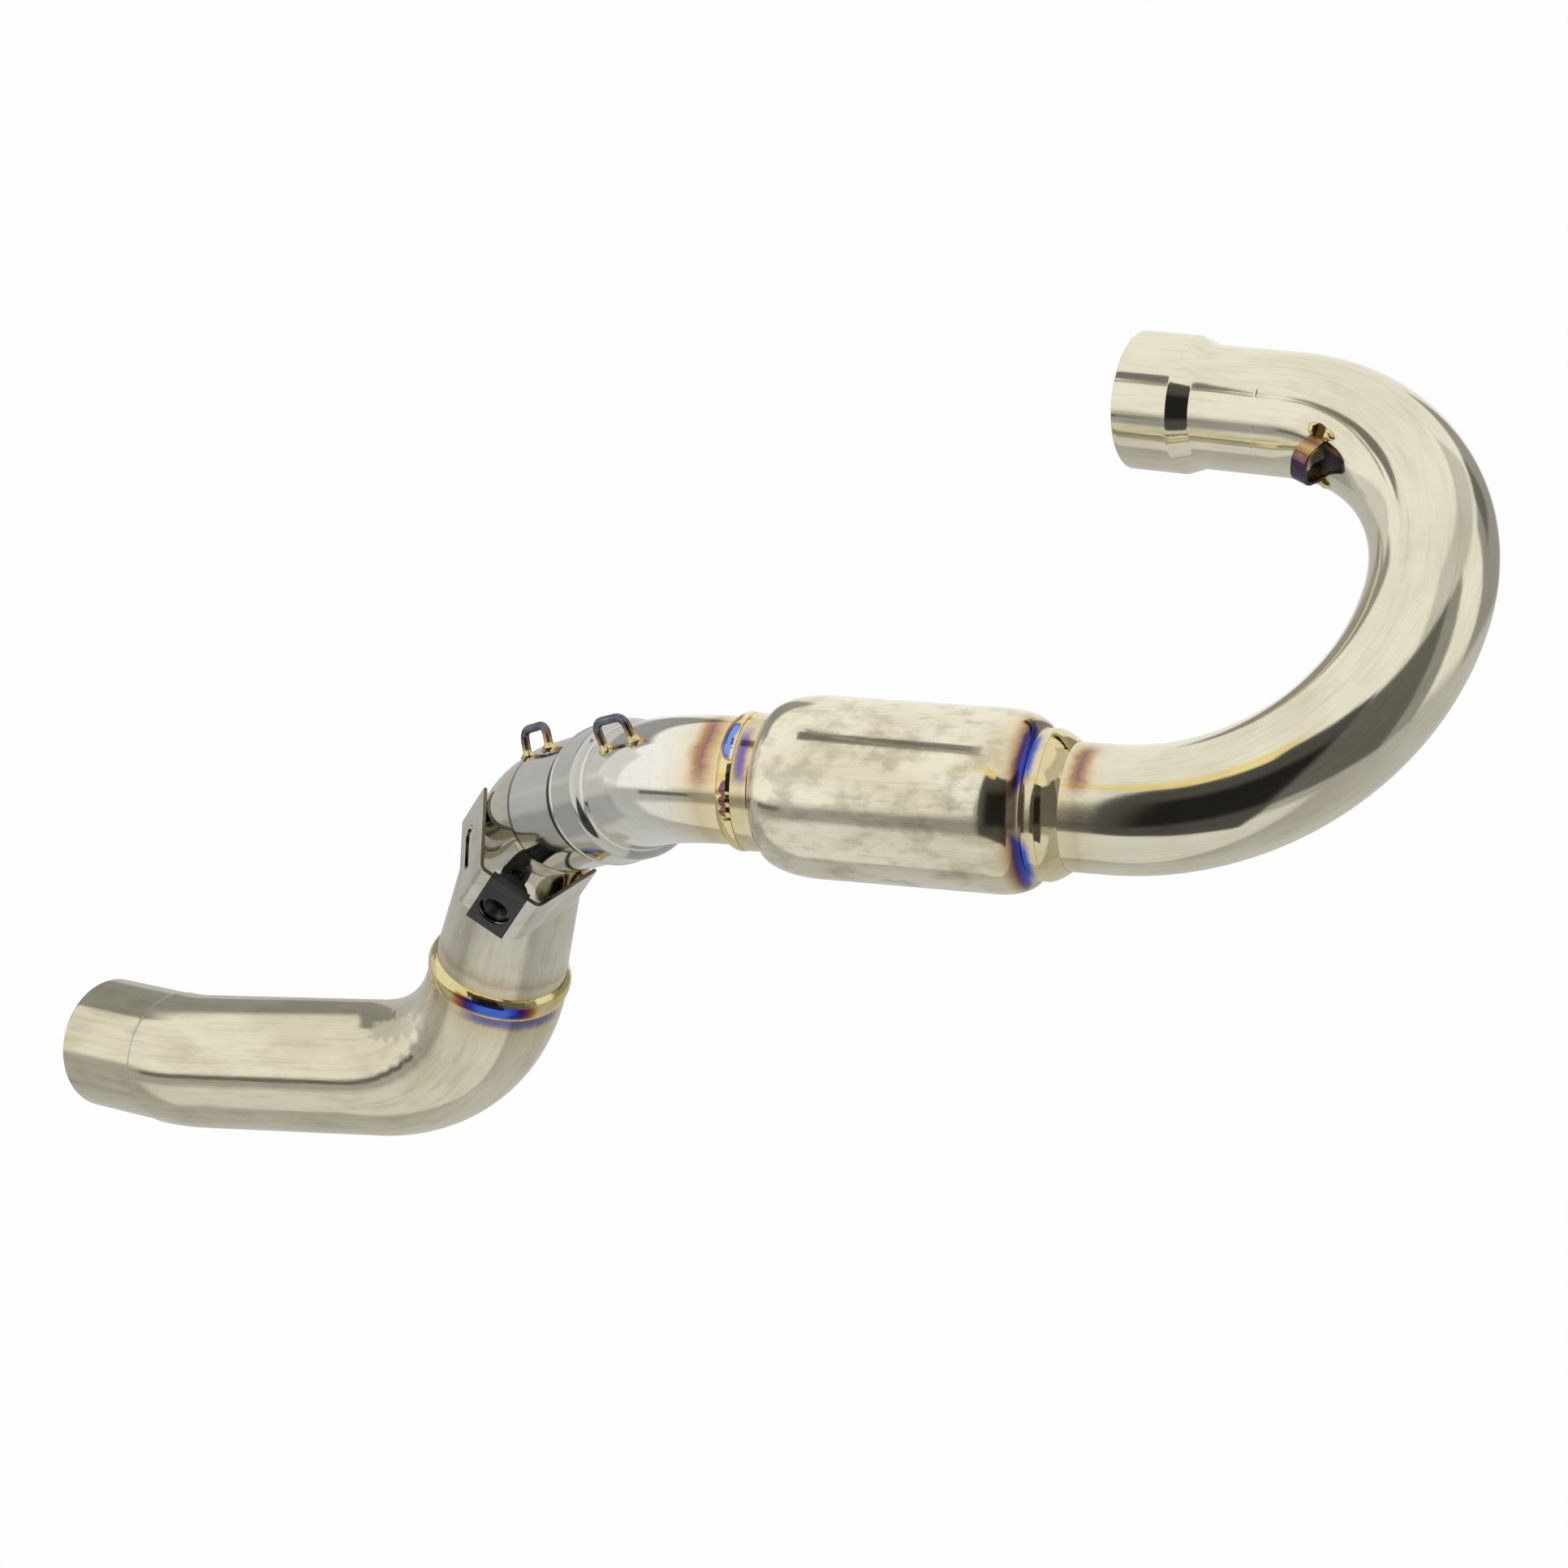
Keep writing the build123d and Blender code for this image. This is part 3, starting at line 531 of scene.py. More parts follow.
# tail pipe with the reduced end
endAt = marks["end"]
tailPipe = {
    "outer": [(weldAt, 25.4), (endAt + 1.1, 25.4), (endAt + 2.6, 25.0), (endAt + 39.9, 25.0)], "spacing": 1.1,
    "wrinkles": {
        "start": weldAt + 20.0, "stop": weldAt + 70.0, "pitch": 7.5, "depth": 0.065, "angle": -160.0, "halfAngle": 46.0,
    },
    "look": {
        "base": tone(230, 224, 200), "cloud": tone(216, 209, 182), "stain": tone(160, 150, 120),
        "brush": (1.4, 0.025), "dentDepth": 0.05, "streakDepth": 0.02,
    },
    "lines": [{"at": endAt + 1.8, "width": 0.9, "depth": 0.08}],
    "tints": [
        tint(weldAt, 3.6, 20.0, (0, 216, 196, 134, 0.65), (0.2, 200, 178, 134, 0.5), (0.6, 216, 202, 168, 0.3),
             (1, 226, 220, 200, 0), wave=0.8),
        tint(weldAt, 3.7, 9.0, (0, 170, 130, 84, 0.6), (0.15, 116, 86, 108, 0.85), (0.45, 94, 106, 164, 0.92),
             (0.68, 118, 112, 152, 0.75), (1, 190, 170, 140, 0), facing=(112.0, 0.55, 0.92, 25.4), fray=0.3, wave=0.5),
    ],
}


# wrinkles of the bending: waves along the pipe on the inside of the bend, dying away at both ends and both sides
def tailWrinkles(stations, angle):
    wave = tailPipe["wrinkles"]
    gone = np.clip((stations - wave["start"]) / (wave["stop"] - wave["start"]), 0, 1)
    away = ((np.degrees(angle) - wave["angle"] + 180) % 360 - 180) / wave["halfAngle"]
    share = np.sin(pi * gone) ** 1.5 * np.clip(1 - away**2, 0, 1) ** 2
    return wave["depth"] * share * np.sin(2 * pi / wave["pitch"] * stations + 1.2 * np.sin(0.11 * stations))


pipePiece("tail_tube", tailPipe, "satin_steel_tail", "mid_pipe", "satin_stainless", "tail_pipe", tailWrinkles)
print("pipes done")

# weld beads: a round crown between two feet, with laid ripples leaning along the bead
beads = {
    "inlet_bead": {
        "body": "head_pipe", "solid": "bulb_inlet_weld",
        "feet": [(bulbStart - 6.4, 20.72), (bulbStart - 0.05, 20.72), (bulbStart - 0.05, 24.4)],
        "crown": (bulbStart - 3.4, 23.0), "ripples": 40, "rippleDepth": 0.02,
        "look": {"base": tone(232, 222, 184), "cloud": tone(222, 208, 160), "stains": 0.1, "rough": 0.03},
    },
    "outlet_bead": {
        "body": "head_pipe", "solid": "bulb_outlet_weld",
        "feet": [(bulbStart + 102.55, 22.55), (bulbStart + 102.55, 21.07), (bulbStart + 107.9, 21.07)],
        "crown": (bulbStart + 105.2, 22.7), "ripples": 54, "rippleDepth": 0.04,
        "craters": [(-174.0, 0.45), (176.0, 0.4), (167.0, 0.25)],
        "look": {"base": tone(240, 224, 168), "cloud": tone(228, 204, 132), "stains": 0.25, "rough": 0.07},
        "tints": [
            tint(bulbStart, 103.0, 107.6, (0, 220, 180, 110, 0), (0.3, 160, 96, 120, 0.8),
                 (0.55, 84, 100, 200, 0.95), (1, 120, 150, 235, 0.95), facing=(-126.0, 0.955, 0.995, 22.4),
                 fray=0.02, turning=True),
            tint(bulbStart, 103.4, 107.2, (0, 220, 180, 120, 0), (0.5, 120, 70, 90, 0.9), (1, 134, 84, 112, 0.95),
                 facing=(-174.5, 0.992, 0.999, 22.4), fray=0.0, turning=True),
            tint(bulbStart, 103.4, 107.2, (0, 220, 180, 120, 0), (0.5, 96, 62, 48, 0.9), (1, 130, 88, 74, 0.9),
                 facing=(176.0, 0.993, 0.999, 22.4), fray=0.0, turning=True),
        ],
    },
    "mid_bead": {
        "body": "mid_pipe", "solid": "mid_weld",
        "feet": [(weldAt - 4.1, 23.92), (weldAt - 0.06, 24.16), (weldAt - 0.06, 25.46), (weldAt + 4.1, 25.46)],
        "crown": (weldAt - 0.8, 26.05), "ripples": 66, "rippleDepth": 0.03,
        "look": {"base": tone(228, 214, 160), "cloud": tone(216, 196, 132), "stains": 0.15},
        "tints": [
            tint(weldAt, -2.6, 3.8, (0, 214, 180, 100, 0), (0.25, 176, 118, 40, 0.9), (0.48, 124, 56, 56, 0.95),
                 (0.64, 70, 44, 116, 1), (0.84, 54, 62, 166, 1), (1, 76, 110, 206, 1),
                 facing=(131.0, 0.79, 1.0, 25.9), fray=0.05, wave=0.2, turning=True),
        ],
    },
}
beadPlan = {
    "around": 720, "lean": 0.5, "craterWidth": 3.0,
    "look": {
        "stain": tone(150, 110, 76), "brush": (0.3, 0.5), "brushShade": 0.15, "brushRough": 0.04, "brushDepth": 0.0,
        "waver": 2.0,
    },
}


# round crown through three points of (station, radius), from the last foot back to the first
def crownArc(points, count=15):
    t = np.linspace(0, 1, count)[1:-1, None]
    last, crown, first = np.array(points, float)
    peak = 2 * crown - (last + first) / 2
    return ((1 - t) ** 2 * last + 2 * t * (1 - t) * peak + t**2 * first).tolist()


def beadPiece(name, bead):
    feet, crown = bead["feet"], bead["crown"]
    loop = np.array(feet + crownArc([feet[-1], crown, feet[0]]))[::-1]
    low = min(foot[1] for foot in feet)
    lift = np.clip((loop[:, 1:] - low) / (crown[1] - low), 0, 1)
    middle, half = (feet[0][0] + feet[-1][0]) / 2, abs(feet[-1][0] - feet[0][0]) / 2 + 0.01

    def ripple(stations, angle):  # scallops trail behind the middle of the bead
        trail = beadPlan["lean"] * ((stations - middle) / half) ** 2
        wave = np.abs(np.sin(bead["ripples"] / 2 * angle - trail * 2.0 + 0.35 * np.sin(5 * angle)))
        swell = bead["rippleDepth"] * (wave - 0.7)
        for place, depth in bead.get("craters", []):  # stopped puddles: a dip with a raised rim
            away = ((np.degrees(angle) - place + 180) % 360 - 180) / beadPlan["craterWidth"]
            swell = swell + depth * (0.8 * away**2 - 1.0) * np.exp(-(away**2) / 1.2)
        return lift * swell

    piece = tubePiece(name, loop, beadPlan["around"], ripple)
    material = steelFinish("weld_" + name, {**bead, "look": {**beadPlan["look"], **bead["look"]}})
    settle(piece, material, bead["body"], "weld_steel", bead["solid"])


for beadName, beadSpot in beads.items():
    beadPiece(beadName, beadSpot)
print("weld beads done")


# steel of a hook: the colour runs along the wire from foot to foot
def hookFinish(name, look):
    material, shader, top = freshLook(name)
    along, spot = top.attribute("along", 2), top.make("ShaderNodeTexCoord", out=3)
    cloud, fine = spot.noise(260.0, 3.0), spot.noise(1400.0, 2.0)
    colour = top.make("ShaderNodeValToRGB", {"stops": look["stops"]}, [along + (cloud - 0.5) * look["waver"]])
    colour = (fine.step(0.5, 0.75) * 0.35).mix(colour, look["grime"])
    paint(shader, colour, cloud * 0.2 + look["rough"], fine * 0.03 + cloud * 0.1)
    return material


# round wire or flat band: a closed section of (out of the plane, across) carried along a flat path
def sweepPiece(name, path, normal, section):
    ahead = np.gradient(path, axis=0)
    ahead /= norm(ahead, axis=1)[:, None]
    outward = np.cross(ahead, normal)
    grid = path[:, None] + section[None, :, :1] * normal + section[None, :, 1:] * outward[:, None]
    first, last = (np.broadcast_to(path[row], grid[:1].shape) for row in (0, -1))
    grid = np.concatenate([first, grid, last])
    gone = np.concatenate([[0], np.cumsum(norm(np.diff(path, axis=0), axis=1))])
    gone = np.concatenate([[0], gone / gone[-1], [1]])
    return gridMesh(name, grid, False, True, merge=True, along=gone[:, None] + 0 * grid[..., 0])


hooks = {
    "radius": 1.5, "span": 16.0, "height": 8.5, "corner": 5.6, "lean": 28.0, "sink": 0.7, "spacing": 0.7,
    "places": {
        "sleeve_hook": {"station": rimAt - 40.0, "angle": -157.0, "reach": 21.0, "skew": 6.0, "body": "head_pipe"},
        "collar_hook": {"station": rimAt + 30.8, "angle": -139.5, "reach": 22.7, "skew": 5.0, "body": "mid_pipe"},
    },
    "rimRoll": 31.4,  # turn of the slip joint's own zero from the path's zero
    # weld round a foot: bore under the wire, neck, reach, depth in the pipe and height, and a seed for each end
    "feet": {"bore": 1.1, "neck": 1.4, "reach": 3.0, "depth": 0.9, "height": 2.6, "seeds": {"front": 1.3, "rear": 4.1}},
    "look": {
        "stops": [
            (0, 226, 200, 150), (0.10, 206, 170, 116), (0.20, 130, 110, 104), (0.34, 100, 106, 128),
            (0.5, 136, 138, 142), (0.66, 98, 108, 132), (0.80, 122, 106, 102), (1, 220, 190, 136),
        ],
        "waver": 0.2, "grime": tone(84, 76, 70), "rough": 0.16,
    },
    "feetLook": {
        "stops": [(0, 226, 208, 160), (0.6, 222, 196, 138), (0.85, 190, 152, 104), (1, 150, 120, 100)],
        "waver": 0.4, "grime": tone(130, 98, 66), "rough": 0.12,
    },
}
hookLook = hookFinish("blued_hook_wire", hooks["look"])
footLook = hookFinish("gold_hook_foot", hooks["feetLook"])
walkStations = np.linspace(0, endAt + 39.9, 2400)
walkCentres = framesAt(walkStations)[0]
walkRadii = np.interp(
    walkStations, [rimAt - 20.7, rimAt - 17.7, rimAt, rimAt + 0.01, rimAt + 39.5, rimAt + 39.6],
    [21.0, 23.95, 23.95, 22.7, 22.7, 21.6],
)


# how far down a foot goes to end a little below the pipe's skin
def footDepth(point, up):
    drop = np.linspace(-5, 4, 181)
    trial = point + drop[:, None] * up
    gap = norm(trial[:, None] - walkCentres[None], axis=2)
    clear = gap.min(1) - walkRadii[gap.argmin(1)]
    return drop[np.abs(clear + hooks["sink"]).argmin()]


# ring of weld round a foot: a closed outline of (distance from the wire, height) turned round it
def footRing(name, point, up, seed):
    feet = hooks["feet"]
    bore, neck, reach, depth = feet["bore"], feet["neck"], feet["reach"], feet["depth"]
    e1 = np.cross(up, [0.3, 0.5, 0.8])
    e1 /= norm(e1)
    e2 = np.cross(up, e1)
    t = np.linspace(0, 1, 12)
    fillet = np.stack([neck + (reach - neck) * (1 - t) ** 1.6, feet["height"] * t**1.3 - 0.1], -1)
    outline = np.concatenate([[[bore, -depth], [reach - 0.2, -depth]], fillet, [[bore, fillet[-1, 1] - 0.2]]])
    angle = fullTurn(48)[None, :]
    lump = 1 + 0.10 * np.sin(2 * angle + seed) + 0.06 * np.sin(5 * angle + 2 * seed)
    away = bore + (outline[:, :1] - bore) * lump
    grid = point + away[..., None] * (np.cos(angle)[..., None] * e1 + np.sin(angle)[..., None] * e2)
    grid = grid + outline[:, 1, None, None] * up
    return gridMesh(name, grid, True, True, along=np.clip(outline[:, 1:] / 3.0, 0, 1) + 0 * angle)


def hookPieces(name, spot):
    centre, out, across, along = placeAt(spot["station"], hooks["rimRoll"] + spot["angle"])
    lean, skew = radians(hooks["lean"]), radians(spot["skew"])
    up = cos(lean) * out + sin(lean) * across
    flank = cos(lean) * across - sin(lean) * out
    ahead = cos(skew) * along - sin(skew) * flank
    base, half, top = centre + spot["reach"] * out, hooks["span"] / 2, hooks["height"] * up
    feet = {"front": base + half * ahead, "rear": base - half * ahead}
    depths = {end: footDepth(foot, up) for end, foot in feet.items()}
    ends = {end: foot + depths[end] * up for end, foot in feet.items()}
    corners = [ends["rear"], feet["rear"] + top, feet["front"] + top, ends["front"]]
    path = softLine(corners, hooks["corner"], hooks["spacing"], closed=False)
    turn = fullTurn(24)
    section = hooks["radius"] * np.stack([np.cos(turn), np.sin(turn)], -1)
    wire = sweepPiece(name + "_wire", path, np.cross(up, ahead), section)
    settle(wire, hookLook, spot["body"], "hook_steel", name)
    for end, seed in hooks["feet"]["seeds"].items():
        ring = footRing(f"{name}_foot_{end}", feet[end] + (depths[end] + hooks["sink"]) * up, up, seed)
        settle(ring, footLook, spot["body"], "weld_steel", f"{name}_weld_{end}")


for hookName, hookSpot in hooks["places"].items():
    hookPieces(hookName, hookSpot)
print("wire hooks done")

# strap hook inside the U-bend: a flat band bent into an arch, and two lumps of weld at its feet
strap = {
    "station": 56.6 + 63.5 * radians(20.1), "angle": -40.6 - 29.8, "reach": 20.65, "spacing": 0.7,
    "thickness": 1.5, "width": 6.1, "foot": 7.15, "top": 5.65, "sink": 18.9, "height": 8.9, "corner": 5.4, "edge": 0.45,
    "lump": {"angle": 26.0, "reach": 20.6, "half": 5.2, "wide": 2.6, "rise": 2.0},
    "look": {
        "stops": [
            (0, 190, 150, 90), (0.12, 120, 84, 70), (0.22, 206, 172, 116), (0.32, 150, 108, 92), (0.42, 92, 70, 104),
            (0.56, 96, 92, 116), (0.7, 66, 62, 66), (0.86, 70, 60, 54), (1, 150, 116, 72),
        ],
        "waver": 0.12, "grime": tone(60, 50, 48), "rough": 0.10,
    },
    "lumpLook": {
        "stops": [(0, 236, 220, 160), (0.4, 222, 190, 110), (0.7, 140, 98, 40), (1, 74, 52, 32)],
        "waver": 0.3, "grime": tone(150, 110, 50), "rough": 0.10,
    },
}
strapCentre, strapOut, strapAcross, strapAlong = placeAt(strap["station"], strap["angle"])
strapTop = strap["reach"] + strap["height"] - strap["thickness"] / 2
strapCorners = [
    strapCentre + out * strapOut + across * strapAcross
    for out, across in (
        (strap["sink"], -strap["foot"]), (strapTop, -strap["top"]),
        (strapTop, strap["top"]), (strap["sink"], strap["foot"]),
    )
]
strapPath = softLine(strapCorners, strap["corner"], strap["spacing"], closed=False)
bandCorners = np.array([(1, 1), (-1, 1), (-1, -1), (1, -1)]) * (strap["width"] / 2, strap["thickness"] / 2)
strapBand = sweepPiece("strap_band", strapPath, strapAlong, softLine(bandCorners, strap["edge"], 1.0))
settle(strapBand, hookFinish("tinted_strap", strap["look"]), "head_pipe", "hook_steel", "strap_hook")


# lump of weld: a low dome on an oval foot, closed underneath, sunk between a lobe at each end
def lumpPiece(name, point, up, long, seed):
    half, wide, high = (strap["lump"][key] for key in ("half", "wide", "rise"))
    turn = fullTurn(64)[None, :]
    t = np.linspace(0, pi / 2, 20)
    away = np.concatenate([np.sin(t), [0.96, 0.0]])[:, None]
    dome = np.concatenate([np.cos(t) ** 0.7, [-0.5, -0.5]])[:, None]
    bumps = 1 + 0.08 * np.sin(3 * turn + seed) + 0.04 * np.sin(7 * turn + 2 * seed)
    forward, aside = away * bumps * np.cos(turn), away * bumps * np.sin(turn)
    lobe = ease((np.abs(forward) - 0.18) / 0.4)
    grid = point + forward[..., None] * half * long + aside[..., None] * wide * np.cross(up, long)
    grid = grid + (high * np.where(dome > 0, dome * (0.35 + 0.65 * lobe), dome))[..., None] * up
    return gridMesh(name, grid, False, True, merge=True, along=1 - lobe)


lumpLook = hookFinish("gold_strap_lump", strap["lumpLook"])
for strapSide, strapEnd in ((-1, "upper"), (1, "lower")):
    seatAngle = radians(strapSide * strap["lump"]["angle"])
    seatUp = cos(seatAngle) * strapOut + sin(seatAngle) * strapAcross
    seat = strapCentre + strap["lump"]["reach"] * seatUp
    lump = lumpPiece(f"strap_lump_{strapEnd}", seat, seatUp, strapAlong, 2.0 + strapSide)
    settle(lump, lumpLook, "head_pipe", "weld_steel", f"strap_hook_weld_{strapEnd}")
print("strap hook done")


# finish of sheet, clip and nut in object coordinates (m)
def sheetFinish(name, look):
    material, shader, top = freshLook(name)
    spot = top.make("ShaderNodeTexCoord", out=3)
    cloud, fine = spot.noise(70.0, 3.0), spot.noise(900.0, 3.0)
    turned = top.make("ShaderNodeMapping", None, {"Vector": spot, "Rotation": look["lay"], "Scale": look["stretch"]})
    scratch = turned.noise(1.0, 4.0, 0.65)
    colour = cloud.step(0.38, 0.66).mix(look["base"], look["cloud"])
    colour = (scratch.step(0.52, 0.72) * look["scratchShade"]).mix(colour, look["scratch"])
    if "cut" in look:  # tarnished ends of the sheet
        colour = (top.attribute("cut", 2) * (0.55 + cloud * 0.5)).mix(colour, look["cut"])
    rough = scratch * look["scratchRough"] + cloud * 0.08 + look["rough"]
    paint(shader, colour, rough, fine * look["fineDepth"] + scratch * look["scratchDepth"], look["metallic"])
    return material


# copy of a solid's own mesh, merged, with flat faces joined and a small rounding on its edges
def dressedCopy(name, solid, rounding, axis=None):
    mesh = nodes[solid].data.copy()
    mesh.name = name
    mergePoints(mesh, 2e-6, 1.5)
    if axis:  # marks the faces square to an axis
        facing = np.abs([face.normal.dot(axis) for face in mesh.polygons])
        mesh.attributes.new("cut", "FLOAT", "FACE").data.foreach_set("value", (facing > 0.9).astype(np.float32))
    piece = smoothPiece(name, mesh, 30)
    if rounding:
        bevel = piece.modifiers.new("edge", "BEVEL")
        bevel.width, bevel.segments, bevel.limit_method = rounding * mm, 2, "ANGLE"
        bevel.angle_limit = radians(34)
    return piece


bracket = {
    "rounding": 0.25,
    "look": {
        "base": tone(214, 212, 202), "cloud": tone(196, 192, 178), "scratch": tone(140, 132, 116),
        "lay": (0.3, 0.5, 0.4), "stretch": (40.0, 900.0, 900.0), "scratchShade": 0.35, "scratchRough": 0.10,
        "rough": 0.09, "metallic": 1.0, "fineDepth": 0.002, "scratchDepth": 0.004, "cut": tone(72, 54, 38),
    },
    "beadLook": {"base": tone(224, 204, 156), "cloud": tone(190, 166, 134), "rough": 0.2},
    "axis": (-0.62063, 0.25853, -0.74026),  # the channel's length, square to its cut ends
}
clip = {
    "rounding": 0.2,
    "look": {
        "base": tone(50, 52, 50), "cloud": tone(42, 44, 43), "scratch": tone(84, 85, 82),
        "lay": (0.2, 0.9, 0.1), "stretch": (300.0, 700.0, 700.0), "scratchShade": 0.25, "scratchRough": 0.15,
        "rough": 0.42, "metallic": 0.2, "fineDepth": 0.03, "scratchDepth": 0.01,
    },
}
nut = {
    "flats": 10.0, "height": 10.4, "mouth": 4.45, "mouthDepth": 2.4, "chamfer": 0.15, "foot": 2.9, "lead": 0.3,
    "pitch": 1.0, "crest": 2.38, "root": 2.66, "around": 96, "threadRows": 130,
    "axis": (0.08380, -0.91681, -0.39044),
    "look": {
        "base": tone(96, 97, 95), "cloud": tone(78, 79, 77), "scratch": tone(150, 148, 142),
        "lay": (0.1, 0.3, 0.2), "stretch": (700.0, 700.0, 300.0), "scratchShade": 0.3, "scratchRough": 0.12,
        "rough": 0.26, "metallic": 0.9, "fineDepth": 0.02, "scratchDepth": 0.01,
    },
}
bracketSheet = dressedCopy("bracket_sheet", "mount_bracket", bracket["rounding"], bracket["axis"])
bracketLook = sheetFinish("bright_sheet", bracket["look"])
settle(bracketSheet, bracketLook, "mid_pipe", "polished_stainless", "mount_bracket")
clipSheet = dressedCopy("clip_sheet", "nut_clip", clip["rounding"])
settle(clipSheet, sheetFinish("black_spring_steel", clip["look"]), "mid_pipe", "black_clip", "nut_clip")
seamLook = sheetFinish("bracket_bead", {**bracket["look"], **bracket["beadLook"]})
for footSide in ("near", "far"):
    seam = dressedCopy(f"bracket_bead_{footSide}", f"bracket_weld_{footSide}", 0.0)
    settle(seam, seamLook, "mid_pipe", "weld_steel", f"bracket_weld_{footSide}")

# nut: hexagon outside, a wide mouth, and a thread whose radius swings between crest and root with the height less
# the turn, once a pitch
nutPoints = np.array([corner.co for corner in nodes["clip_nut"].data.vertices]) / mm
nutCentre, nutAxis = (nutPoints.max(0) + nutPoints.min(0)) / 2, np.array(nut["axis"])
nutReach = nutPoints - nutCentre
nutReach -= (nutReach @ nutAxis)[:, None] * nutAxis
nutSide = nutReach[norm(nutReach, axis=1).argmax()]
nutSide /= norm(nutSide)
nutTurn = fullTurn(nut["around"])[None, :]
nutEnd, nutChamfer = nut["height"] / 2, nut["chamfer"]
hexAway = nut["flats"] / 2 / np.cos(nutTurn % (pi / 3) - pi / 6)
threadRise = np.linspace(nutEnd - nut["mouthDepth"], nut["lead"] - nutEnd, nut["threadRows"])[:, None]
threadSwing = np.abs(((threadRise / nut["pitch"] - nutTurn / (2 * pi)) % 1.0) * 2 - 1)
threadAway = nut["crest"] + (nut["root"] - nut["crest"]) * threadSwing
outerRise = np.array([-nutEnd, -nutEnd, nutChamfer - nutEnd, nutEnd - nutChamfer, nutEnd, nutEnd])[:, None]
outerAway = [nut["foot"] + 0 * nutTurn, hexAway - nutChamfer, hexAway, hexAway, hexAway - nutChamfer]
nutRise = np.concatenate([threadRise, outerRise])
nutAway = np.concatenate([threadAway, *outerAway, nut["mouth"] + 0 * nutTurn])
nutRing = np.cos(nutTurn)[..., None] * nutSide + np.sin(nutTurn)[..., None] * np.cross(nutAxis, nutSide)
nutGrid = nutCentre + nutAway[..., None] * nutRing + nutRise[..., None] * nutAxis
nutPiece = gridMesh("caged_nut", nutGrid, True, True, sharp=25)
settle(nutPiece, sheetFinish("black_nut_steel", nut["look"]), "mid_pipe", "black_nut", "clip_nut")
print("bracket, clip and nut done")

# camera at the photograph's viewing angle
view = {
    "place": (0.58797, -1.25191, 0.25774), "lens": 96.05,
    "right": (0.86522, 0.50140, 0.0), "up": (-0.13693, 0.23628, 0.96199), "back": (0.48234, -0.83233, 0.27309),
}
cameraData = bpy.data.cameras.new("view")
cameraData.lens, cameraData.sensor_width = view["lens"], 36.0
cameraData.clip_start, cameraData.clip_end = 0.05, 60.0
camera = bpy.data.objects.new("view", cameraData)
camera.matrix_world = Matrix([*zip(view["right"], view["up"], view["back"], view["place"]), (0, 0, 0, 1)])
scene.collection.objects.link(camera)
scene.camera = camera

# studio: a pale floor, an even white world and a tent of panels that only the metal sees
studio = {
    "floorDrop": 0.28, "floorHalf": 20000.0, "centre": (-140.0, -64.0, -144.0), "tentRadius": 3000.0,
    "diffuse": 0.75, "sky": 0.97, "ground": 0.50, "groundSwing": 0.09, "groundFacing": 95.0, "horizon": (-8, 14),
    "floorTone": (0.93, 0.93, 0.93, 1.0), "floorRough": 0.9, "floorWhite": 0.94,
    "lampSize": 1.1, "lampPower": 6.0, "lampPlace": (-0.35, -0.35, 1.15),
    "warm": (1.0, 0.995, 0.98), "gold": (1.0, 0.86, 0.48),
    "warmPanels": [  # azimuth from and to, elevation from and to, softness (degrees), slant, tone
        (-30, 60, 36, 57, 5, 0, 0.66),
        (-150, -25, -88, -27, 8, 0, 0.76),
        (126, 180, -25, 6, 5, 0, 0.55),
        (126, 180, 6, 36, 5, 0, 0.33),
        (168, 195, -5, 25, 5, 0, 0.72),
        (166, 190, -42, -18, 6, 0, 0.38),
        (195, 235, -10, 60, 6, 0, 0.97),
        (214, 250, -17.5, -12.5, 2, 0, 0.15),
        (246, 268, -25, -11, 4, 0, 0.38),
        (-94.3, -46, -33, 45, 1.5, -0.25, 0.085),
        (-86, -48, -14, 26, 9, 0, 0.018),
        (-48, -7, -17, 37, 4, 0, 0.15),
        (-8, 6, -15, 36, 4, 0, 0.32),
        (36, 90, -12, 31, 5, 0, 0.35),
        (48, 66, 14, 32, 5, 0, 0.17),
    ],
    "goldPanels": [(-104, -74, 44.2, 54.2, 2, -0.2, 1.0)],
    # dark rails hung near the pipe, as pairs of edge points (mm)
    "railTones": [(0.2, 0.2, 0.2), (0.36, 0.30, 0.20), (0.38, 0.36, 0.31)],
    "rails": [
        [[(-200, -243, 221), (-212, -173, 235)], [(-84, -253, 224), (-96, -183, 240)]],
        [[(-124, -214, 200), (-124, -226, 187)], [(-83, -221, 193), (-83, -232, 180)],
         [(-67, -234, 178), (-67, -245, 165)]],
        [[(-71, -219, 183), (-74, -228, 170)], [(-95, -204, 163), (-101, -209, 151)],
         [(-115, -185, 146), (-123, -186, 134)], [(-136, -146, 132), (-144, -142, 121)]],
    ],
}
azimuth = np.linspace(-180, 180, 361)[None, :]
elevation = np.linspace(-90, 90, 181)[:, None]


# share of a panel: a smooth window between two values
def window(value, low, high, soft):
    return ease((value - low) / soft + 0.5) * ease((high - value) / soft + 0.5)


groundTone = studio["ground"] + studio["groundSwing"] * np.cos(np.radians(azimuth - studio["groundFacing"]))
horizon, horizonSoft = studio["horizon"]
skyShare = window(elevation, horizon, 200, horizonSoft)
glow = (groundTone * (1 - skyShare) + studio["sky"] * skyShare)[..., None] * np.array(studio["warm"])
panels = [(panel, studio[hue]) for hue in ("warm", "gold") for panel in studio[hue + "Panels"]]
for (panelFrom, panelTo, low, high, soft, slant, panelTone), hue in panels:
    middle = (panelFrom + panelTo) / 2
    offset = (azimuth - middle + 180) % 360 - 180
    share = window(offset, panelFrom - middle, panelTo - middle, soft)
    share = (share * window(elevation - slant * offset, low, high, soft))[..., None]
    glow = glow * (1 - share) + share * panelTone * np.array(hue)
ringOut, turnAbout = np.cos(np.radians(elevation)), np.radians(azimuth)
tentUp = np.sin(np.radians(elevation)) + 0 * azimuth
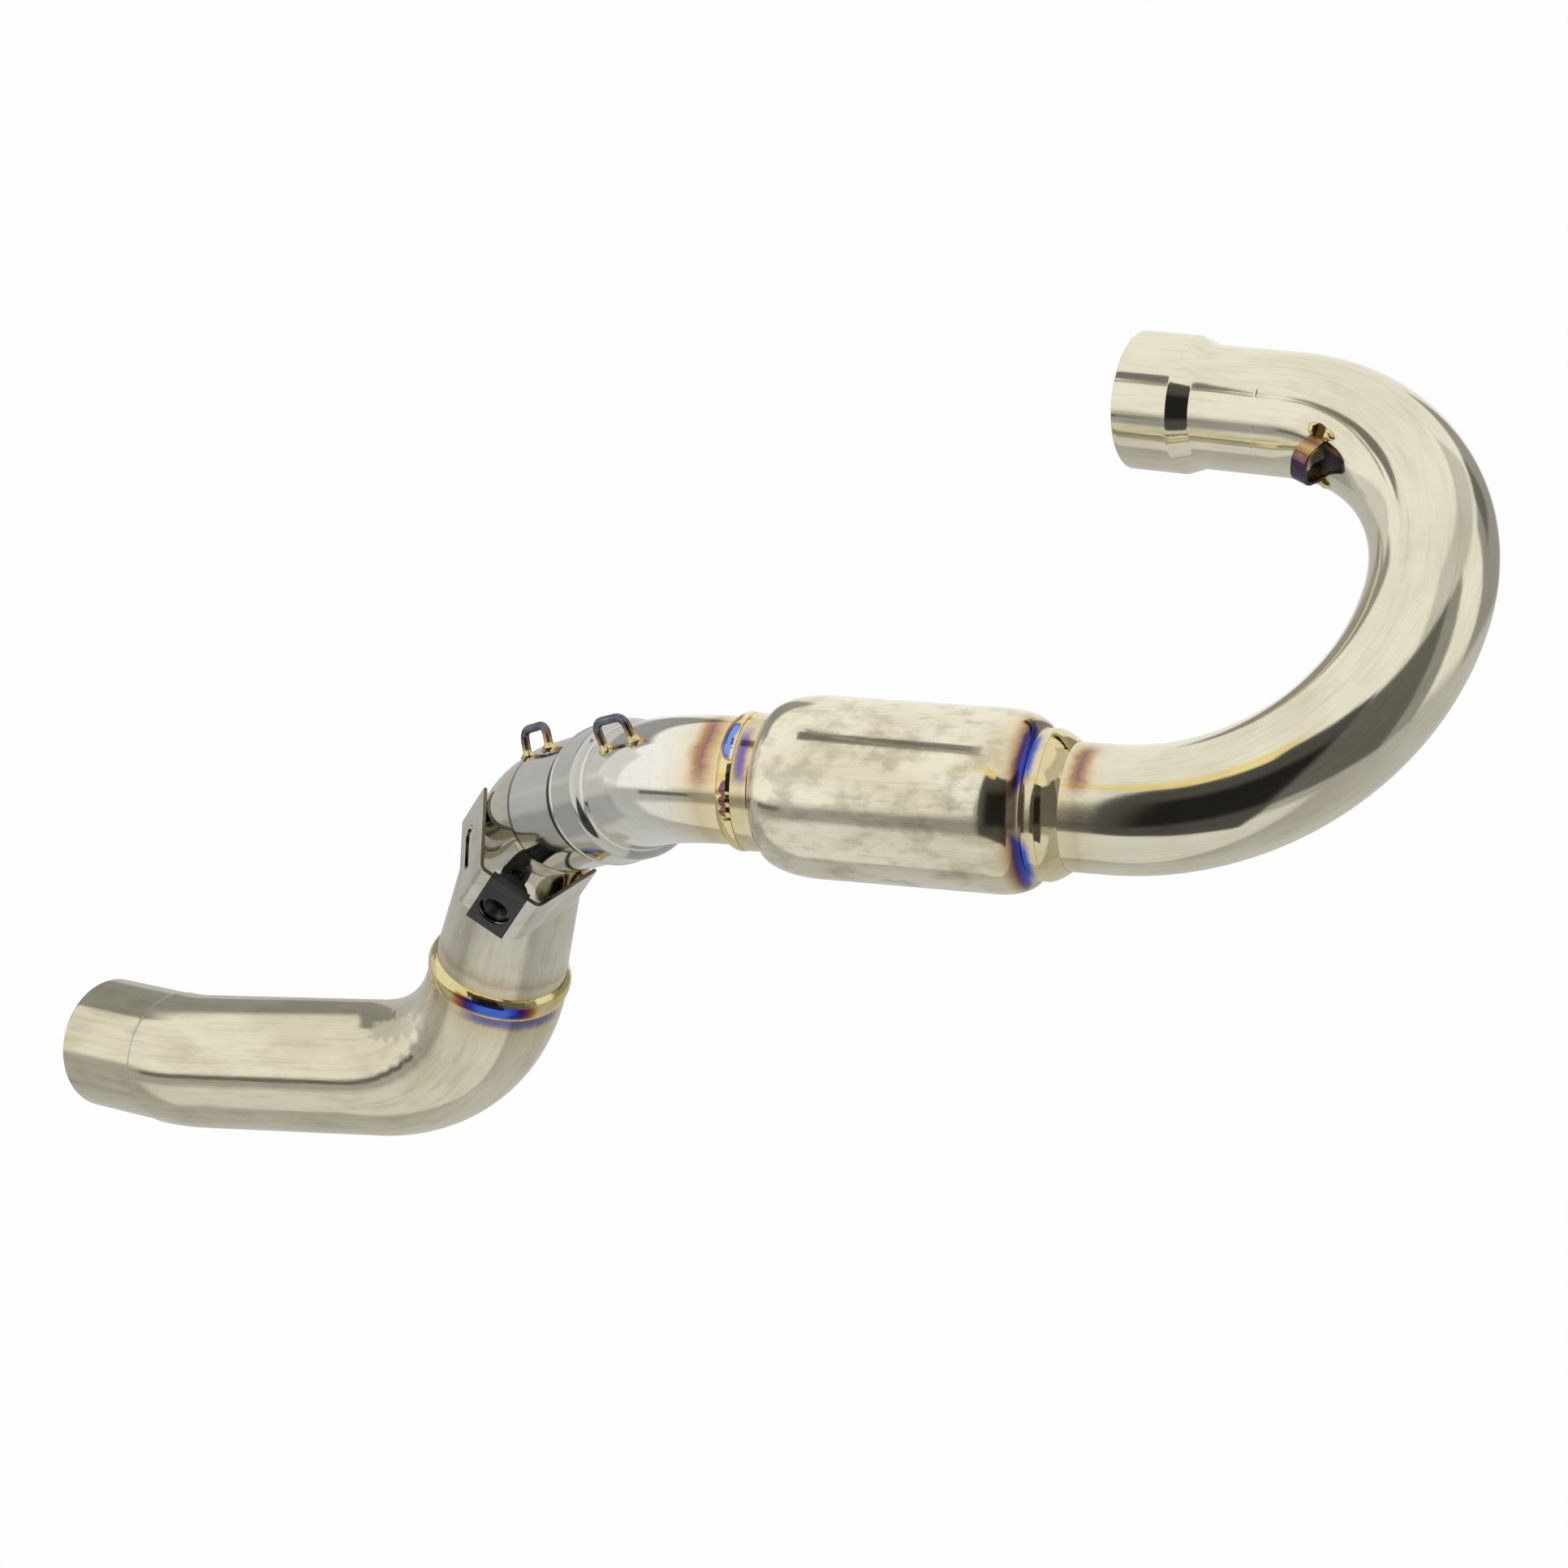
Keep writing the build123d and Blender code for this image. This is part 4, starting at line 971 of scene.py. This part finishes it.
tentPoints = np.stack([ringOut * np.cos(turnAbout), ringOut * np.sin(turnAbout), tentUp], -1)
tent = gridMesh("tent", np.array(studio["centre"]) + studio["tentRadius"] * tentPoints, False, False, glow=glow)
tentLook, _, tentTop = freshLook("tent_panels")
tentLook.node_tree.nodes.clear()
tentShine = tentTop.make("ShaderNodeEmission", None, {"Color": tentTop.attribute("glow", 1), "Strength": 1.0})
tentShine.to(tentLook.node_tree.nodes.new("ShaderNodeOutputMaterial").inputs["Surface"])
hangings = [tent]
for number, (edges, railTone) in enumerate(zip(studio["rails"], studio["railTones"])):
    railPoints = np.array(edges, float)
    railGlow = np.ones(railPoints.shape) * railTone
    hangings.append(gridMesh(f"rail_{number}", railPoints, False, False, glow=railGlow))
for hanging in hangings:
    hanging.data.materials.append(tentLook)
    hanging.visible_camera = hanging.visible_diffuse = hanging.visible_shadow = hanging.visible_transmission = False

floorZ = cadBox[0][2] - studio["floorDrop"]
floorEnds = (-studio["floorHalf"], studio["floorHalf"])
floor = gridMesh("floor", np.array([[[x, y, floorZ / mm] for x in floorEnds] for y in floorEnds]), False, False)
floorLook, floorShader, floorTop = freshLook("pale_floor")
floorShader.inputs["Base Color"].default_value = studio["floorTone"]
floorShader.inputs["Roughness"].default_value = studio["floorRough"]
white = floorTop.make("ShaderNodeEmission", None, {"Color": (1.0, 1.0, 1.0, 1.0), "Strength": 1.0})
shaded = Sock(floorLook.node_tree, floorShader.outputs[0])
whitened = floorTop.plainRays() * studio["floorWhite"]
blend = floorTop.make("ShaderNodeMixShader", None, (whitened, shaded, white))
blend.to(floorLook.node_tree.nodes["Material Output"].inputs["Surface"])
floor.data.materials.append(floorLook)
floor.visible_glossy = False

world = bpy.data.worlds.new("white_room")
scene.world = world
world.use_nodes = True
background = world.node_tree.nodes["Background"]
level = Sock(world.node_tree).plainRays() * (1.0 - studio["diffuse"]) + studio["diffuse"]
level.to(background.inputs["Strength"])
background.inputs["Color"].default_value = (1.0, 1.0, 1.0, 1.0)

lampData = bpy.data.lights.new("soft_top", "AREA")
lampData.shape, lampData.size, lampData.energy = "DISK", studio["lampSize"], studio["lampPower"]
lamp = bpy.data.objects.new("soft_top", lampData)
lamp.location = studio["lampPlace"]
lamp.visible_glossy = False
scene.collection.objects.link(lamp)
scene.view_settings.view_transform = "Standard"
print("studio done")
